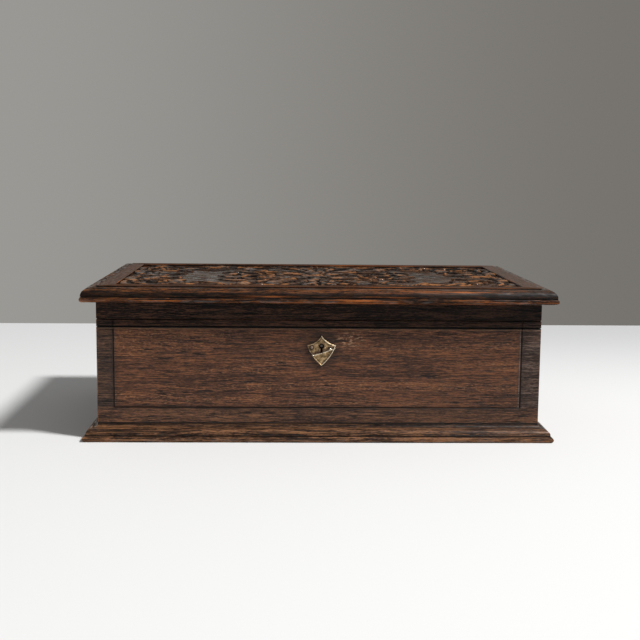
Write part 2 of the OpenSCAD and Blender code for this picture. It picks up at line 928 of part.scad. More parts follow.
module escutcheon() {
    color(brass)
        difference() {
            translate([lock_x, -half_d, shield_z])
                rotate([90, 0, 0]) {
                    linear_extrude(shield_t)
                        shield_outline(0);
                    linear_extrude(shield_t + shield_rim_h)
                        difference() {
                            shield_outline(0);
                            shield_outline(shield_rim_w);
                        }
                }
            keyhole_cutter(-half_d - shield_t - shield_rim_h - cut, wall_t, 0);
            escutcheon_pin_holes();
        }
}

// Round-headed pins through the shield into the front board
module escutcheon_pins() {
    color(brass)
        for (i = [0, 1])
            translate([lock_x + pin_side[i], -half_d - shield_t, shield_z - pin_drop[i]])
                rotate([90, 0, 0]) {
                    translate([0, 0, -shield_pin_l])
                        cylinder(r = shield_pin_r, h = shield_pin_l);
                    intersection() {
                        sphere(r = shield_pin_head_r);
                        cylinder(r = shield_pin_head_r, h = shield_pin_head_r);
                    }
                }
}

module base_screws() {
    color(steel)
        at_base_screws()
            countersunk_screw(base_screw_r, base_screw_head_r, base_screw_l);
}

base_board();
front_board();
back_board();
left_side_board();
right_side_board();
lid_board();
lid_front_rail();
lid_back_rail();
lid_left_rail();
lid_right_rail();
left_hinge_body_leaf();
left_hinge_lid_leaf();
left_hinge_pin();
right_hinge_body_leaf();
right_hinge_lid_leaf();
right_hinge_pin();
hinge_body_screws();
hinge_lid_screws();
lock_case();
lock_plate();
lock_bolt();
lock_spring();
lock_key_pin();
lock_screws();
lid_link_plate();
link_plate_screws();
escutcheon();
escutcheon_pins();
base_screws();
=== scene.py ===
# Keepsake box of dark stained oak: a moulded, carved lid, a moulded base, scored walls and a brass shield.
import math
import bpy
import numpy as np
from mathutils import Matrix, Vector


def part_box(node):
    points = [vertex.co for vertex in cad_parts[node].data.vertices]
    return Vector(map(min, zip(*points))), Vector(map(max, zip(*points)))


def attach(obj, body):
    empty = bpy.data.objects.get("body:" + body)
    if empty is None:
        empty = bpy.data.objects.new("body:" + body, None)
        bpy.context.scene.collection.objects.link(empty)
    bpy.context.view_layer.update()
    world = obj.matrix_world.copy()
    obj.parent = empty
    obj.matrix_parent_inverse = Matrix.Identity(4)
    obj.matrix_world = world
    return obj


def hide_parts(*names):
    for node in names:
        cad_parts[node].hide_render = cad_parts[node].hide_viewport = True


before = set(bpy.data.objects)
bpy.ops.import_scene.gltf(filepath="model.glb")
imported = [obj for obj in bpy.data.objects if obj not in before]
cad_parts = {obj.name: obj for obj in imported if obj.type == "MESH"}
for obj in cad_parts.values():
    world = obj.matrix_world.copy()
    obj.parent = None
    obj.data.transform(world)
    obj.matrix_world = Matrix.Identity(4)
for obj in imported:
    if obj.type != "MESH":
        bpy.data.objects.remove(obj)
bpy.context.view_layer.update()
mm = 0.001

# Places that several pieces share, all read from the frame
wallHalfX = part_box("front_board")[1].x
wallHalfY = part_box("back_board")[1].y
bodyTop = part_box("front_board")[1].z
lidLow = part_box("lid_front_rail")[0].z
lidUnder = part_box("lid_board")[0].z
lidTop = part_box("lid_board")[1].z
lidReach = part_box("lid_board")[1].x - wallHalfX
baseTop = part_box("front_board")[0].z
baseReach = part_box("base_board")[1].x - wallHalfX
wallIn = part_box("front_board")[1].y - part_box("front_board")[0].y


def tint(red, green, blue):
    # screen value to light value, with the standard curve
    shares = np.array([red, green, blue]) / 255
    light = np.where(shares > 0.04045, ((shares + 0.055) / 1.055) ** 2.4, shares / 12.92)
    return (*map(float, light), 1)


def feed(tree, socket, value):
    if isinstance(value, bpy.types.NodeSocket):
        tree.links.new(value, socket)
    else:
        socket.default_value = value


def node(tree, kind, inputs=None, **settings):
    made = tree.nodes.new(kind)
    for key, value in settings.items():
        setattr(made, key, value)
    for key, value in (inputs or {}).items():
        feed(tree, made.inputs[key], value)
    return made


def calc(tree, operation, *values):
    made = node(tree, "ShaderNodeMath", operation=operation)
    for socket, value in zip(made.inputs, values):
        feed(tree, socket, value)
    return made.outputs[0]


def times(tree, first, *others):
    for other in others:
        first = calc(tree, "MULTIPLY", first, other)
    return first


def plus(tree, first, second):
    return calc(tree, "ADD", first, second)


def minus(tree, first, second):
    return calc(tree, "SUBTRACT", first, second)


def without(tree, share):
    return calc(tree, "SUBTRACT", 1.0, share)


def apart(tree, value):
    # distance from zero
    return calc(tree, "ABSOLUTE", value)


def between(tree, value, low, high, start=0.0, end=1.0):
    # smooth step from start at low to end at high
    limits = {"From Min": low, "From Max": high, "To Min": start, "To Max": end}
    made = node(tree, "ShaderNodeMapRange", limits, interpolation_type="SMOOTHSTEP")
    feed(tree, made.inputs["Value"], value)
    return made.outputs["Result"]


def hump(tree, value, rise, fall, full=1.0):
    # smooth step up over rise, and down from full to nothing over fall
    return times(tree, between(tree, value, *rise), between(tree, value, *fall, full, 0))


def nearWalls(tree, x, y, start, end):
    # 1 where both sides are at end, 0 where either is at start, both counted outwards from the walls' faces
    return times(tree, between(tree, apart(tree, x), wallHalfX + start, wallHalfX + end),
                 between(tree, apart(tree, y), wallHalfY + start, wallHalfY + end))


def blendColor(tree, share, first, second, how="MIX"):
    made = node(tree, "ShaderNodeMix", data_type="RGBA", blend_type=how)
    for index, value in ((0, share), (6, first), (7, second)):
        feed(tree, made.inputs[index], value)
    return made.outputs[2]


def even(tree, level):
    return node(tree, "ShaderNodeCombineColor", {0: level, 1: level, 2: level}).outputs[0]


def shaded(tree, color, level):
    return blendColor(tree, 1.0, color, even(tree, level), "MULTIPLY")


def ramp(tree, share, stops):
    made = node(tree, "ShaderNodeValToRGB", {"Fac": share})
    elements = made.color_ramp.elements
    while len(elements) < len(stops):
        elements.new(1)
    for element, (place, color) in zip(elements, stops):
        element.position = place
        element.color = color
    return made.outputs["Color"]


def axes(tree, vector):
    return node(tree, "ShaderNodeSeparateXYZ", {0: vector}).outputs


def mark(tree, label):
    return node(tree, "ShaderNodeAttribute", attribute_name=label).outputs["Fac"]


def scaled(tree, vector, x, y, z):
    return node(tree, "ShaderNodeVectorMath", {0: vector, 1: (x, y, z)}, operation="MULTIPLY").outputs[0]


def farFrom(tree, x, z, place, shareX, shareZ):
    # distance on the front from a place, with x and z weighed
    aside = {"X": minus(tree, x, place[0]), "Y": minus(tree, z, place[1])}
    weighed = scaled(tree, node(tree, "ShaderNodeCombineXYZ", aside).outputs[0], shareX, shareZ, 1)
    return node(tree, "ShaderNodeVectorMath", {0: weighed}, operation="LENGTH").outputs["Value"]


def cloud(tree, vector, detail=2.0, roughness=0.5):
    # noise whose patches are about one unit of the given vector across
    return node(tree, "ShaderNodeTexNoise", {"Vector": vector, "Scale": 1.0, "Detail": detail,
                                             "Roughness": roughness}).outputs["Fac"]


def newGroup(name, inputs, outputs):
    group = bpy.data.node_groups.new(name, "ShaderNodeTree")
    for label, kind, value in inputs:
        socket = group.interface.new_socket(label, in_out="INPUT", socket_type=kind)
        if value is not None:
            socket.default_value = value
    for label, kind in outputs:
        group.interface.new_socket(label, in_out="OUTPUT", socket_type=kind)
    return group, group.nodes.new("NodeGroupInput").outputs, group.nodes.new("NodeGroupOutput").inputs


def useGroup(tree, group, inputs):
    made = tree.nodes.new("ShaderNodeGroup")
    made.node_tree = group
    for key, value in inputs.items():
        feed(tree, made.inputs[key], value)
    return made.outputs


def newMaterial(name, roughness=0.4, specular=0.5):
    material = bpy.data.materials.new(name)
    material.use_nodes = True
    tree = material.node_tree
    surface = tree.nodes["Principled BSDF"]
    surface.inputs["Roughness"].default_value = roughness
    surface.inputs["Specular IOR Level"].default_value = specular
    place = node(tree, "ShaderNodeTexCoord").outputs["Object"]
    return material, tree, surface.inputs, place


def bumped(tree, surface, height, distance, strength=1.0):
    made = node(tree, "ShaderNodeBump", {"Height": height, "Distance": distance, "Strength": strength})
    tree.links.new(made.outputs["Normal"], surface["Normal"])


def finish(piece, material):
    if not piece.material_slots:
        piece.data.materials.append(material)
    for slot in piece.material_slots:
        slot.material = material


def seat(piece, body, slot, *nodes):
    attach(piece, body)
    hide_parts(*nodes)


# Camera: the photograph's own place and angle, with the picture taken as square
view = dict(place=(-24.7 * mm, -830.3 * mm, 183.0 * mm), down=7.727, right=1.9, roll=-0.577, lens=62.47)


def makeCamera():
    data = bpy.data.cameras.new("camera")
    data.lens = view["lens"]
    data.sensor_width = 36
    data.sensor_fit = "HORIZONTAL"
    camera = bpy.data.objects.new("camera", data)
    bpy.context.scene.collection.objects.link(camera)
    turn, dip, roll = (math.radians(view[key]) for key in ("right", "down", "roll"))
    ahead = Vector((math.sin(turn) * math.cos(dip), math.cos(turn) * math.cos(dip), -math.sin(dip)))
    level = Vector((math.cos(turn), -math.sin(turn), 0))
    below = ahead.cross(level)
    across = level * math.cos(roll) + below * math.sin(roll)
    down = -level * math.sin(roll) + below * math.cos(roll)
    facing = Matrix((across, -down, -ahead)).transposed().to_4x4()
    camera.matrix_world = Matrix.Translation(view["place"]) @ facing
    bpy.context.scene.camera = camera


makeCamera()
bpy.context.scene.view_settings.view_transform = "Standard"
print("camera made")

# Table, wall and lamps
stage = dict(halfWidth=1.6, front=-0.47, back=0.479, skew=0.011, thick=0.02, color=tint(238, 238, 237),
             farLeft=tint(232, 232, 232), farRight=tint(206, 206, 207), wallLeft=tint(155, 153, 149),
             wallRight=tint(118, 115, 110), room=0.40, ambient=0.235, below=0.10)
lamp = dict(toward=(0.538, -0.293, 0.791), distance=4.0, wide=0.64, power=172)


def makeStage():
    # the back edge lies a little askew: y = back + skew * x
    half, front = stage["halfWidth"], stage["front"]
    corners = [(x, y + stage["skew"] * x * (y > 0), z) for z in (-stage["thick"], 0)
               for y in (front, stage["back"]) for x in (-half, half)]
    sides = [(0, 2, 3, 1), (4, 5, 7, 6), (0, 1, 5, 4), (1, 3, 7, 5), (3, 2, 6, 7), (2, 0, 4, 6)]
    mesh = bpy.data.meshes.new("table")
    mesh.from_pydata(corners, [], sides)
    table = bpy.data.objects.new("table", mesh)
    bpy.context.scene.collection.objects.link(table)
    material, tree, surface, place = newMaterial("paleTable", 0.75, 0.2)
    x, y, z = axes(tree, place)
    # painted light falloff: the table darkens towards the back, most towards the far right
    far = blendColor(tree, between(tree, x, -0.4, 0.4), stage["farLeft"], stage["farRight"])
    speckle = times(tree, cloud(tree, scaled(tree, place, 300, 300, 300)), 0.03)
    share = plus(tree, between(tree, y, 0, stage["back"]), speckle)
    tree.links.new(blendColor(tree, share, stage["color"], far), surface["Base Color"])
    finish(table, material)


def makeWorld():
    world = bpy.data.worlds.new("studio")
    bpy.context.scene.world = world
    world.use_nodes = True
    tree = world.node_tree
    x, y, z = axes(tree, node(tree, "ShaderNodeTexCoord").outputs["Generated"])
    # painted light falloff: the wall seen behind is lighter on the left than on the right
    wall = blendColor(tree, between(tree, x, -0.30, 0.34), stage["wallLeft"], stage["wallRight"])
    seen = shaded(tree, wall, between(tree, y, -0.2, 0.3, stage["room"], 1.0))
    fill = even(tree, between(tree, z, -0.15, 0.1, stage["ambient"] * stage["below"], stage["ambient"]))
    rays = node(tree, "ShaderNodeLightPath").outputs
    shown = calc(tree, "MAXIMUM", calc(tree, "MAXIMUM", rays["Is Camera Ray"], rays["Is Glossy Ray"]),
                 rays["Is Transmission Ray"])
    tree.links.new(blendColor(tree, shown, fill, seen), tree.nodes["Background"].inputs["Color"])


def makeLamp():
    data = bpy.data.lights.new("keyLamp", "AREA")
    data.shape = "DISK"
    data.size = lamp["wide"]
    data.energy = lamp["power"]
    key = bpy.data.objects.new("keyLamp", data)
    bpy.context.scene.collection.objects.link(key)
    toward = Vector(lamp["toward"]).normalized()
    key.location = toward * lamp["distance"]
    key.rotation_mode = "QUATERNION"
    key.rotation_quaternion = toward.to_track_quat("Z", "Y")


makeStage()
makeWorld()
makeLamp()
print("table, wall and lamp made")


# Grain shared by every oak surface. x runs along the fibres. Sizes are patches per metre.
def makeOakFigure():
    group, given, put = newGroup("oakFigure", [("Vector", "NodeSocketVector", None)],
                                 [("Tone", "NodeSocketFloat"), ("Pore", "NodeSocketFloat"),
                                  ("Speck", "NodeSocketFloat"), ("Patch", "NodeSocketFloat"),
                                  ("Height", "NodeSocketFloat")])
    vector = given["Vector"]
    waves = cloud(group, scaled(group, vector, 14, 45, 45))
    sway = times(group, minus(group, waves, 0.5), 5 * mm)
    shift = node(group, "ShaderNodeCombineXYZ", {"Y": sway, "Z": sway}).outputs[0]
    bent = node(group, "ShaderNodeVectorMath", {0: vector, 1: shift}, operation="ADD").outputs[0]
    fleck = cloud(group, scaled(group, bent, 170, 2000, 2000), 2, 0.6)
    fibre = cloud(group, scaled(group, bent, 36, 1200, 1200), 3, 0.6)
    bands = cloud(group, scaled(group, bent, 6, 170, 170), 3)
    patch = cloud(group, scaled(group, bent, 20, 60, 60), 3, 0.6)
    specks = cloud(group, scaled(group, bent, 520, 2600, 2600), 1)
    dashes = cloud(group, scaled(group, bent, 90, 1500, 1500), 1)
    rows = cloud(group, scaled(group, bent, 16, 400, 400), 2)
    pore = times(group, between(group, dashes, 0.54, 0.64), between(group, rows, 0.40, 0.58))
    # tone = 0.26 fleck + 0.30 fibre + 0.16 speck + 0.13 band + 0.15 patch
    tone = 0.0
    for part, weight in ((fleck, 0.26), (fibre, 0.30), (specks, 0.16), (bands, 0.13), (patch, 0.15)):
        tone = plus(group, tone, times(group, part, weight))
    feed(group, put["Tone"], between(group, tone, 0.38, 0.62))
    feed(group, put["Pore"], pore)
    feed(group, put["Speck"], times(group, between(group, specks, 0.60, 0.70),
                                    between(group, bands, 0.46, 0.6)))
    feed(group, put["Patch"], between(group, patch, 0.35, 0.70))
    feed(group, put["Height"], minus(group, times(group, fibre, 0.4), pore))
    return group


# Panel edged by scored lines: inside the frame, distances to the three lines are positive.
# Turn is 1 where the panel lies above its level line, and -1 where it lies below.
def makeScoredPanel():
    numbers = [(label, "NodeSocketFloat", 0.0) for label in ("Along", "Up", "Left", "Right", "Line", "Turn")]
    group, given, put = newGroup("scoredPanel", numbers, [(label, "NodeSocketFloat") for label in
                                                          ("Groove", "Halo", "Outside", "Sheen")])
    depths = [minus(group, given["Along"], given["Left"]),
              minus(group, given["Right"], given["Along"]),
              times(group, minus(group, given["Up"], given["Line"]), given["Turn"])]
    inner = calc(group, "MINIMUM", depths[0], calc(group, "MINIMUM", depths[1], depths[2]))
    away = apart(group, inner)
    feed(group, put["Groove"], between(group, away, 0.25 * mm, 0.75 * mm, 1, 0))
    feed(group, put["Halo"], between(group, away, 0.4 * mm, 3.0 * mm, 1, 0))
    feed(group, put["Outside"], between(group, inner, -0.3 * mm, 0.3 * mm, 1, 0))
    edge = times(group, calc(group, "MINIMUM", depths[0], depths[1]),
                 calc(group, "GREATER_THAN", depths[2], 0.0))
    feed(group, put["Sheen"], hump(group, edge, (0.5 * mm, 0.8 * mm), (1.1 * mm, 1.5 * mm)))
    return group


oakFigure = makeOakFigure()
scoredPanel = makeScoredPanel()

oak = dict(dark=tint(42, 26, 18), mid=tint(89, 56, 39), warm=tint(146, 93, 60), pore=tint(15, 9, 6),
           speck=tint(172, 132, 96), border=(0.54, 0.70, 0.94, 1), borderLow=(0.93, 1.04, 1.12, 1),
           grey=tint(118, 104, 98), streak=tint(104, 70, 56), groove=tint(14, 10, 9), halo=tint(36, 26, 21),
           sheen=tint(118, 108, 106), bare=tint(126, 94, 66), bareDark=tint(92, 66, 46),
           stain=(0.17, 0.17, 0.19, 1), jointShade=tint(5, 4, 4), arris=tint(112, 84, 62),
           corner=tint(150, 96, 56), scratch=tint(190, 150, 118), endGrey=tint(96, 82, 74), rough=0.42,
           specular=0.3)
gapMiddle, gapHalf = (bodyTop + lidLow) / 2, (lidLow - bodyTop) / 2
keyLow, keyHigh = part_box("lock_key_pin")
keyPlace = ((keyLow.x + keyHigh.x) / 2, (keyLow.z + keyHigh.z) / 2)


# turned: fibres along y. panel: left, right, level line and turn. stain: how much darker than the body.
def oakMaterial(name, turned=False, panel=None, stain=0.0, seed=(0, 0, 0)):
    material, tree, surface, place = newMaterial(name, oak["rough"], oak["specular"] * (1 - 0.5 * stain))
    turn = (0, 0, math.radians(90 if turned else 0))
    grainPlace = node(tree, "ShaderNodeMapping", {"Vector": place, "Location": seed,
                                                  "Rotation": turn}).outputs[0]
    figure = useGroup(tree, oakFigure, {"Vector": grainPlace})
    x, y, z = axes(tree, place)
    spread = 1 - 0.5 * stain
    color = ramp(tree, figure["Tone"], [(0.5 - 0.44 * spread, oak["dark"]), (0.46, oak["mid"]),
                                        (0.5 + 0.44 * spread, oak["warm"])])
    color = blendColor(tree, times(tree, figure["Patch"], 0.3), color, oak["dark"])
    if panel:
        along = y if turned else x
        lines = useGroup(tree, scoredPanel, {"Along": along, "Up": z, "Left": panel[0], "Right": panel[1],
                                             "Line": panel[2], "Turn": panel[3]})
        upright = between(tree, z, panel[2] - 1 * mm, panel[2] + 1 * mm)
        if panel[3] < 0:
            upright = without(tree, upright)
        border = blendColor(tree, upright, oak["borderLow"], oak["border"])
        color = blendColor(tree, lines["Outside"], color, border, "MULTIPLY")
        # grey fibres stand out beside the right upright
        grey = times(tree, between(tree, figure["Tone"], 0.5, 0.8),
                     between(tree, along, 60 * mm, 140 * mm, 0.0, 0.5))
        color = blendColor(tree, times(tree, lines["Outside"], upright, grey), color, oak["grey"])
    color = blendColor(tree, times(tree, figure["Pore"], 0.85), color, oak["pore"])
    speck = times(tree, figure["Speck"], 0.45 * (1 - 0.7 * stain))
    if panel:
        speck = times(tree, speck, between(tree, lines["Outside"], 0, 1, 1, 0.2))
    color = blendColor(tree, speck, color, oak["speck"])
    if panel:
        color = blendColor(tree, times(tree, lines["Halo"], 0.45), color, oak["halo"])
        sheen = times(tree, lines["Sheen"], between(tree, along, 60 * mm, 130 * mm, 0.15, 0.75))
        color = blendColor(tree, times(tree, sheen, between(tree, figure["Tone"], 0.2, 0.7)), color,
                           oak["sheen"])
        level = between(tree, apart(tree, minus(tree, z, panel[2])), 0.25 * mm, 0.8 * mm, 1, 0)
        groove = calc(tree, "MAXIMUM", lines["Groove"], level) if panel[3] < 0 else lines["Groove"]
        color = blendColor(tree, times(tree, groove, 0.78), color, oak["groove"])
    if stain:
        deep = stain
        if panel:
            deep = between(tree, z, panel[2] - 0.6 * mm, panel[2] + 0.6 * mm, 0.98 * stain, stain)
        color = blendColor(tree, deep, color, oak["stain"], "MULTIPLY")
        streak = times(tree, between(tree, figure["Tone"], 0.5, 0.85), 0.42 * stain)
        color = blendColor(tree, streak, color, oak["streak"])
    fromGap = minus(tree, apart(tree, minus(tree, z, gapMiddle)), gapHalf)
    arris = hump(tree, fromGap, (0.5 * mm, 0.8 * mm), (1.0 * mm, 1.9 * mm))
    color = blendColor(tree, times(tree, arris, 0.45 * (1 - 0.8 * stain)), color, oak["arris"])
    # painted shade: near black along both edges of the gap under the lid
    color = blendColor(tree, between(tree, fromGap, 0.3 * mm, 0.7 * mm, 1, 0), color, oak["jointShade"])
    # worn corner arrises, and painted shade where the wall meets the base
    corner = nearWalls(tree, x, y, -0.8 * mm, -0.3 * mm)
    worn = times(tree, corner, between(tree, figure["Patch"], 0.2, 0.7, 0.05, 0.6 - 0.4 * stain))
    color = blendColor(tree, worn, color, oak["corner"])
    color = blendColor(tree, between(tree, z, baseTop + 0.5 * mm, baseTop + 1.1 * mm, 0.92, 0), color,
                       oak["jointShade"])
    if name.startswith("front"):
        # painted light: the front is lighter towards its left end
        shade = between(tree, x, -110 * mm, 130 * mm, 1.0, 0.60 if stain else 0.88)
        # and painted light on a strip along the right half of the opening, where the lid's shadow falls
        wearAndPaintedLight = times(tree, between(tree, z, bodyTop - 12 * mm, bodyTop - 3 * mm),
                       between(tree, x, 0, 50 * mm))
        shade = times(tree, shade, between(tree, wearAndPaintedLight, 0, 1, 1.0, 1.0 if stain else 1.4))
        color = shaded(tree, color, shade)
    if name == "frontOak":
        away = farFrom(tree, x, z, (keyPlace[0], keyPlace[1] - 2.5 * mm), 1, 0.92)
        color = blendColor(tree, between(tree, away, 8 * mm, 17 * mm, 0.62, 0), color, oak["halo"])
        # scratches left by keys and fingers, up to the right of the keyhole
        off = farFrom(tree, x, z, (keyPlace[0] + 19 * mm, keyPlace[1] + 4 * mm), 0.6, 1)
        scratch = between(tree, cloud(tree, scaled(tree, place, 260, 900, 900), 3, 0.6), 0.53, 0.60)
        scratch = times(tree, scratch, between(tree, off, 3 * mm, 8 * mm, 0.55, 0))
        color = blendColor(tree, scratch, color, oak["scratch"])
    within = nearWalls(tree, x, y, -0.3 * mm, -0.8 * mm)
    bare = ramp(tree, figure["Tone"], [(0.1, oak["bareDark"]), (0.8, oak["bare"])])
    bare = blendColor(tree, times(tree, figure["Pore"], 0.6), bare, oak["dark"])
    color = blendColor(tree, within, color, bare)
    tree.links.new(color, surface["Base Color"])
    shine = plus(tree, times(tree, figure["Pore"], 0.2), between(tree, figure["Tone"], 0, 1, 0.50, 0.38))
    tree.links.new(shine, surface["Roughness"])
    bumped(tree, surface, figure["Height"], 0.3 * mm, 0.7)
    return material


lines = dict(left=-138.8 * mm, right=137.1 * mm, end=78 * mm, low=22.3 * mm, high=82.5 * mm)
frontPanel = (lines["left"], lines["right"], lines["low"], 1)
railPanel = (lines["left"], lines["right"], lines["high"], -1)
endPanel = (-lines["end"], lines["end"], lines["low"], 1)
endRailPanel = (-lines["end"], lines["end"], lines["high"], -1)

wallFinishes = {
    "front_board": oakMaterial("frontOak", panel=frontPanel),
    "back_board": oakMaterial("backOak", seed=(0.7, 0.3, 0.1)),
    "left_side_board": oakMaterial("leftEndOak", True, endPanel, seed=(0.4, 0.9, 0.3)),
    "right_side_board": oakMaterial("rightEndOak", True, endPanel, seed=(1.3, 0.2, 0.6)),
    "lid_front_rail": oakMaterial("frontRailOak", False, railPanel, 0.9, (0, 0, 0.4)),
    "lid_back_rail": oakMaterial("backRailOak", stain=0.35, seed=(0.9, 0.5, 0.2)),
    "lid_left_rail": oakMaterial("leftRailOak", True, endRailPanel, 0.45, (0.2, 0.6, 0.9)),
    "lid_right_rail": oakMaterial("rightRailOak", True, endRailPanel, 0.45, (0.5, 0.1, 0.8)),
}
for name, material in wallFinishes.items():
    finish(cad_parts[name], material)
print("walls and rails finished")


def meshPiece(name, points, polygons, attributes=None, sharp=40):
    # polygons is a list of index arrays, one array for each corner count
    mesh = bpy.data.meshes.new(name)
    mesh.vertices.add(len(points))
    mesh.vertices.foreach_set("co", np.asarray(points, np.float32).ravel())
    counts = np.concatenate([np.full(len(part), part.shape[1]) for part in polygons])
    corners = np.concatenate([part.ravel() for part in polygons])
    mesh.loops.add(len(corners))
    mesh.loops.foreach_set("vertex_index", corners.astype(np.int32))
    mesh.polygons.add(len(counts))
    mesh.polygons.foreach_set("loop_start", np.concatenate([[0], np.cumsum(counts)[:-1]]).astype(np.int32))
    mesh.update(calc_edges=True)
    mesh.validate()
    for label, values in (attributes or {}).items():
        layer = mesh.attributes.new(label, "FLOAT", "POINT")
        layer.data.foreach_set("value", values.astype(np.float32).ravel())
    mesh.shade_smooth()
    mesh.set_sharp_from_angle(angle=math.radians(sharp))
    piece = bpy.data.objects.new(name, mesh)
    bpy.context.scene.collection.objects.link(piece)
    return piece


def gridQuads(number):
    # a quad for each cell of a grid of point numbers
    return np.stack([number[:-1, :-1], number[1:, :-1], number[1:, 1:], number[:-1, 1:]], -1).reshape(-1, 4)


def closedRound(number):
    return np.concatenate([number, number[:, :1]], 1)


def fan(hub, ring):
    # triangles from the hub to each step of a ring, facing against the ring's turn
    return np.stack([np.full(len(ring), hub), np.roll(ring, -1), ring], 1)


def arc(middle, radius, start, end, count):
    turn = np.radians(np.linspace(start, end, count))
    return np.stack([middle[0] + radius * np.cos(turn), middle[1] + radius * np.sin(turn)], 1)


def straight(first, last, count):
    return np.linspace(first, last, count)


def smoothNoise(random, rows, columns, shape):
    # coarse random grid spread over a fine one, the last column meeting the first
    coarse = random.standard_normal((rows, columns))
    coarse = np.concatenate([coarse, coarse[:, :1]], 1)
    u, v = np.linspace(0, rows - 1, shape[0]), np.linspace(0, columns, shape[1], endpoint=False)
    i, j = np.minimum(u.astype(int), rows - 2), v.astype(int)
    a, b = (u - i)[:, None], (v - j)[None]
    a, b = a * a * (3 - 2 * a), b * b * (3 - 2 * b)
    low = coarse[i][:, j] * (1 - b) + coarse[i][:, j + 1] * b
    high = coarse[i + 1][:, j] * (1 - b) + coarse[i + 1][:, j + 1] * b
    return low * (1 - a) + high * a


mouldings = dict(bead=4 * mm, step=2 * mm, lidStep=0.7 * mm, quirkHigh=0.8 * mm, quirkIn=0.6 * mm,
                 groove=0.45 * mm, arris=0.35 * mm, coveRadius=2.5 * mm, coveFlat=0.6 * mm,
                 border=10.5 * mm, sunk=2.2 * mm, longSteps=220, endSteps=130, wear=0.16 * mm, seed=7)


def quarterRound(inner, top, outer, foot, count):
    # arc from (outer, foot) up to the height of top, where it is level
    # radius = (width^2 + height^2) / (2 * height)
    high = top - foot
    wide = min(outer - inner, high)
    radius = (wide * wide + high * high) / (2 * high)
    start = math.degrees(math.asin((foot - top + radius) / radius))
    return arc((outer - wide, top - radius), radius, start, 90, count)


def lidProfile():
    m = mouldings
    beadOut, roundOut = lidReach - m["bead"] / 2, lidReach - m["lidStep"]
    beadTop, quirkTop = lidUnder + m["bead"], lidTop - m["quirkHigh"]
    roundIn = roundOut - (quirkTop - beadTop)
    inner = -m["quirkIn"] - m["border"]
    a = m["arris"]
    return np.concatenate([
        straight((-wallIn, lidUnder), (beadOut - 1 * mm, lidUnder), 4),
        arc((beadOut, lidUnder + m["bead"] / 2), m["bead"] / 2, -90, 62, 15),
        quarterRound(roundIn, quirkTop, roundOut, beadTop, 22),
        straight((roundIn - 0.4 * mm, quirkTop), (-m["quirkIn"] + 0.5 * mm, quirkTop), 6),
        [(-m["quirkIn"] + 0.15 * mm, quirkTop - m["groove"]), (-m["quirkIn"], quirkTop - m["groove"])],
        arc((-m["quirkIn"] - a, lidTop - a), a, 0, 90, 5),
        straight((-m["quirkIn"] - 2 * a, lidTop), (inner + 2 * a, lidTop), 9),
        arc((inner + a, lidTop - a), a, 90, 180, 5),
        straight((inner, lidTop - m["sunk"] + 0.2 * mm), (inner - 3 * mm, lidTop - m["sunk"]), 3),
    ])


coveLow = baseTop - mouldings["coveRadius"]


def baseProfile():
    m = mouldings
    beadOut, roundIn = baseReach - m["bead"] / 2, m["coveRadius"] + m["coveFlat"]
    return np.concatenate([
        straight((-wallIn, 0), (beadOut - 0.5 * mm, 0), 4),
        arc((beadOut, m["bead"] / 2), m["bead"] / 2, -88, 84, 15),
        quarterRound(roundIn, coveLow, baseReach - m["step"], m["bead"] - 0.2 * mm, 16),
        straight((roundIn - 0.1 * mm, coveLow - 0.12 * mm), (m["coveRadius"] + 0.1 * mm, coveLow), 2),
        arc((m["coveRadius"], baseTop), m["coveRadius"], -90, -180, 10),
        straight((-0.2 * mm, baseTop), (-wallIn, baseTop), 5),
    ])


# Profile (offset, height) carried round a mitred rectangle:
# point = (along x share * (half x + offset), along y share * (half y + offset), height)
def mitredBoard(name, profile, seed):
    m = mouldings
    corners = np.array([(-1, -1), (1, -1), (1, 1), (-1, 1)])
    sides = []
    for k in range(4):
        share = np.linspace(0, 1, m["longSteps"] if k % 2 == 0 else m["endSteps"], endpoint=False)[:, None]
        sides.append(corners[k] * (1 - share) + corners[(k + 1) % 4] * share)
    path = np.concatenate(sides)
    rows, columns = len(profile), len(path)
    tangent = np.gradient(profile, axis=0)
    tangent /= np.linalg.norm(tangent, axis=1, keepdims=True)
    outward = np.stack([tangent[:, 1], -tangent[:, 0]], 1)
    bend = np.gradient(np.unwrap(np.arctan2(tangent[:, 1], tangent[:, 0])))
    step = np.linalg.norm(np.gradient(profile, axis=0), axis=1)
    bend = np.convolve(bend / np.maximum(step, 0.1 * mm), np.ones(3) / 3, "same") * mm
    convex, hollow = np.clip(bend / 0.5, 0, 1), np.clip(-bend / 0.5 - 1, 0, 1)
    random = np.random.default_rng(seed)
    shape = (rows, columns)
    long = smoothNoise(random, 12, 60, shape) + 0.6 * smoothNoise(random, 24, 240, shape)
    cut = m["wear"] * np.clip(long, 0, 2.2) * (0.25 + 0.75 * convex[:, None])
    shown = ((profile[:, 0] > 0.3 * mm) & (profile[:, 1] > 0.3 * mm))[:, None]
    cut = cut * shown
    offset = profile[:, :1] - cut * outward[:, :1]
    height = profile[:, 1:] - cut * outward[:, 1:]
    points = np.stack([path[None, :, 0] * (wallHalfX + offset), path[None, :, 1] * (wallHalfY + offset),
                       height], 2)
    points = np.concatenate([points.reshape(-1, 3), [(0, 0, profile[0, 1]), (0, 0, profile[-1, 1])]])
    number = np.arange(rows * columns).reshape(rows, columns)
    caps = [fan(rows * columns, number[0]), fan(rows * columns + 1, number[-1, ::-1])]
    spread = np.ones(columns)[None]
    extra = np.zeros(2)
    return meshPiece(name, points, [gridQuads(closedRound(number).T), np.concatenate(caps)], {
        "edgeWear": np.append(convex[:, None] * spread, extra),
        "cavity": np.append(hollow[:, None] * spread, extra)})
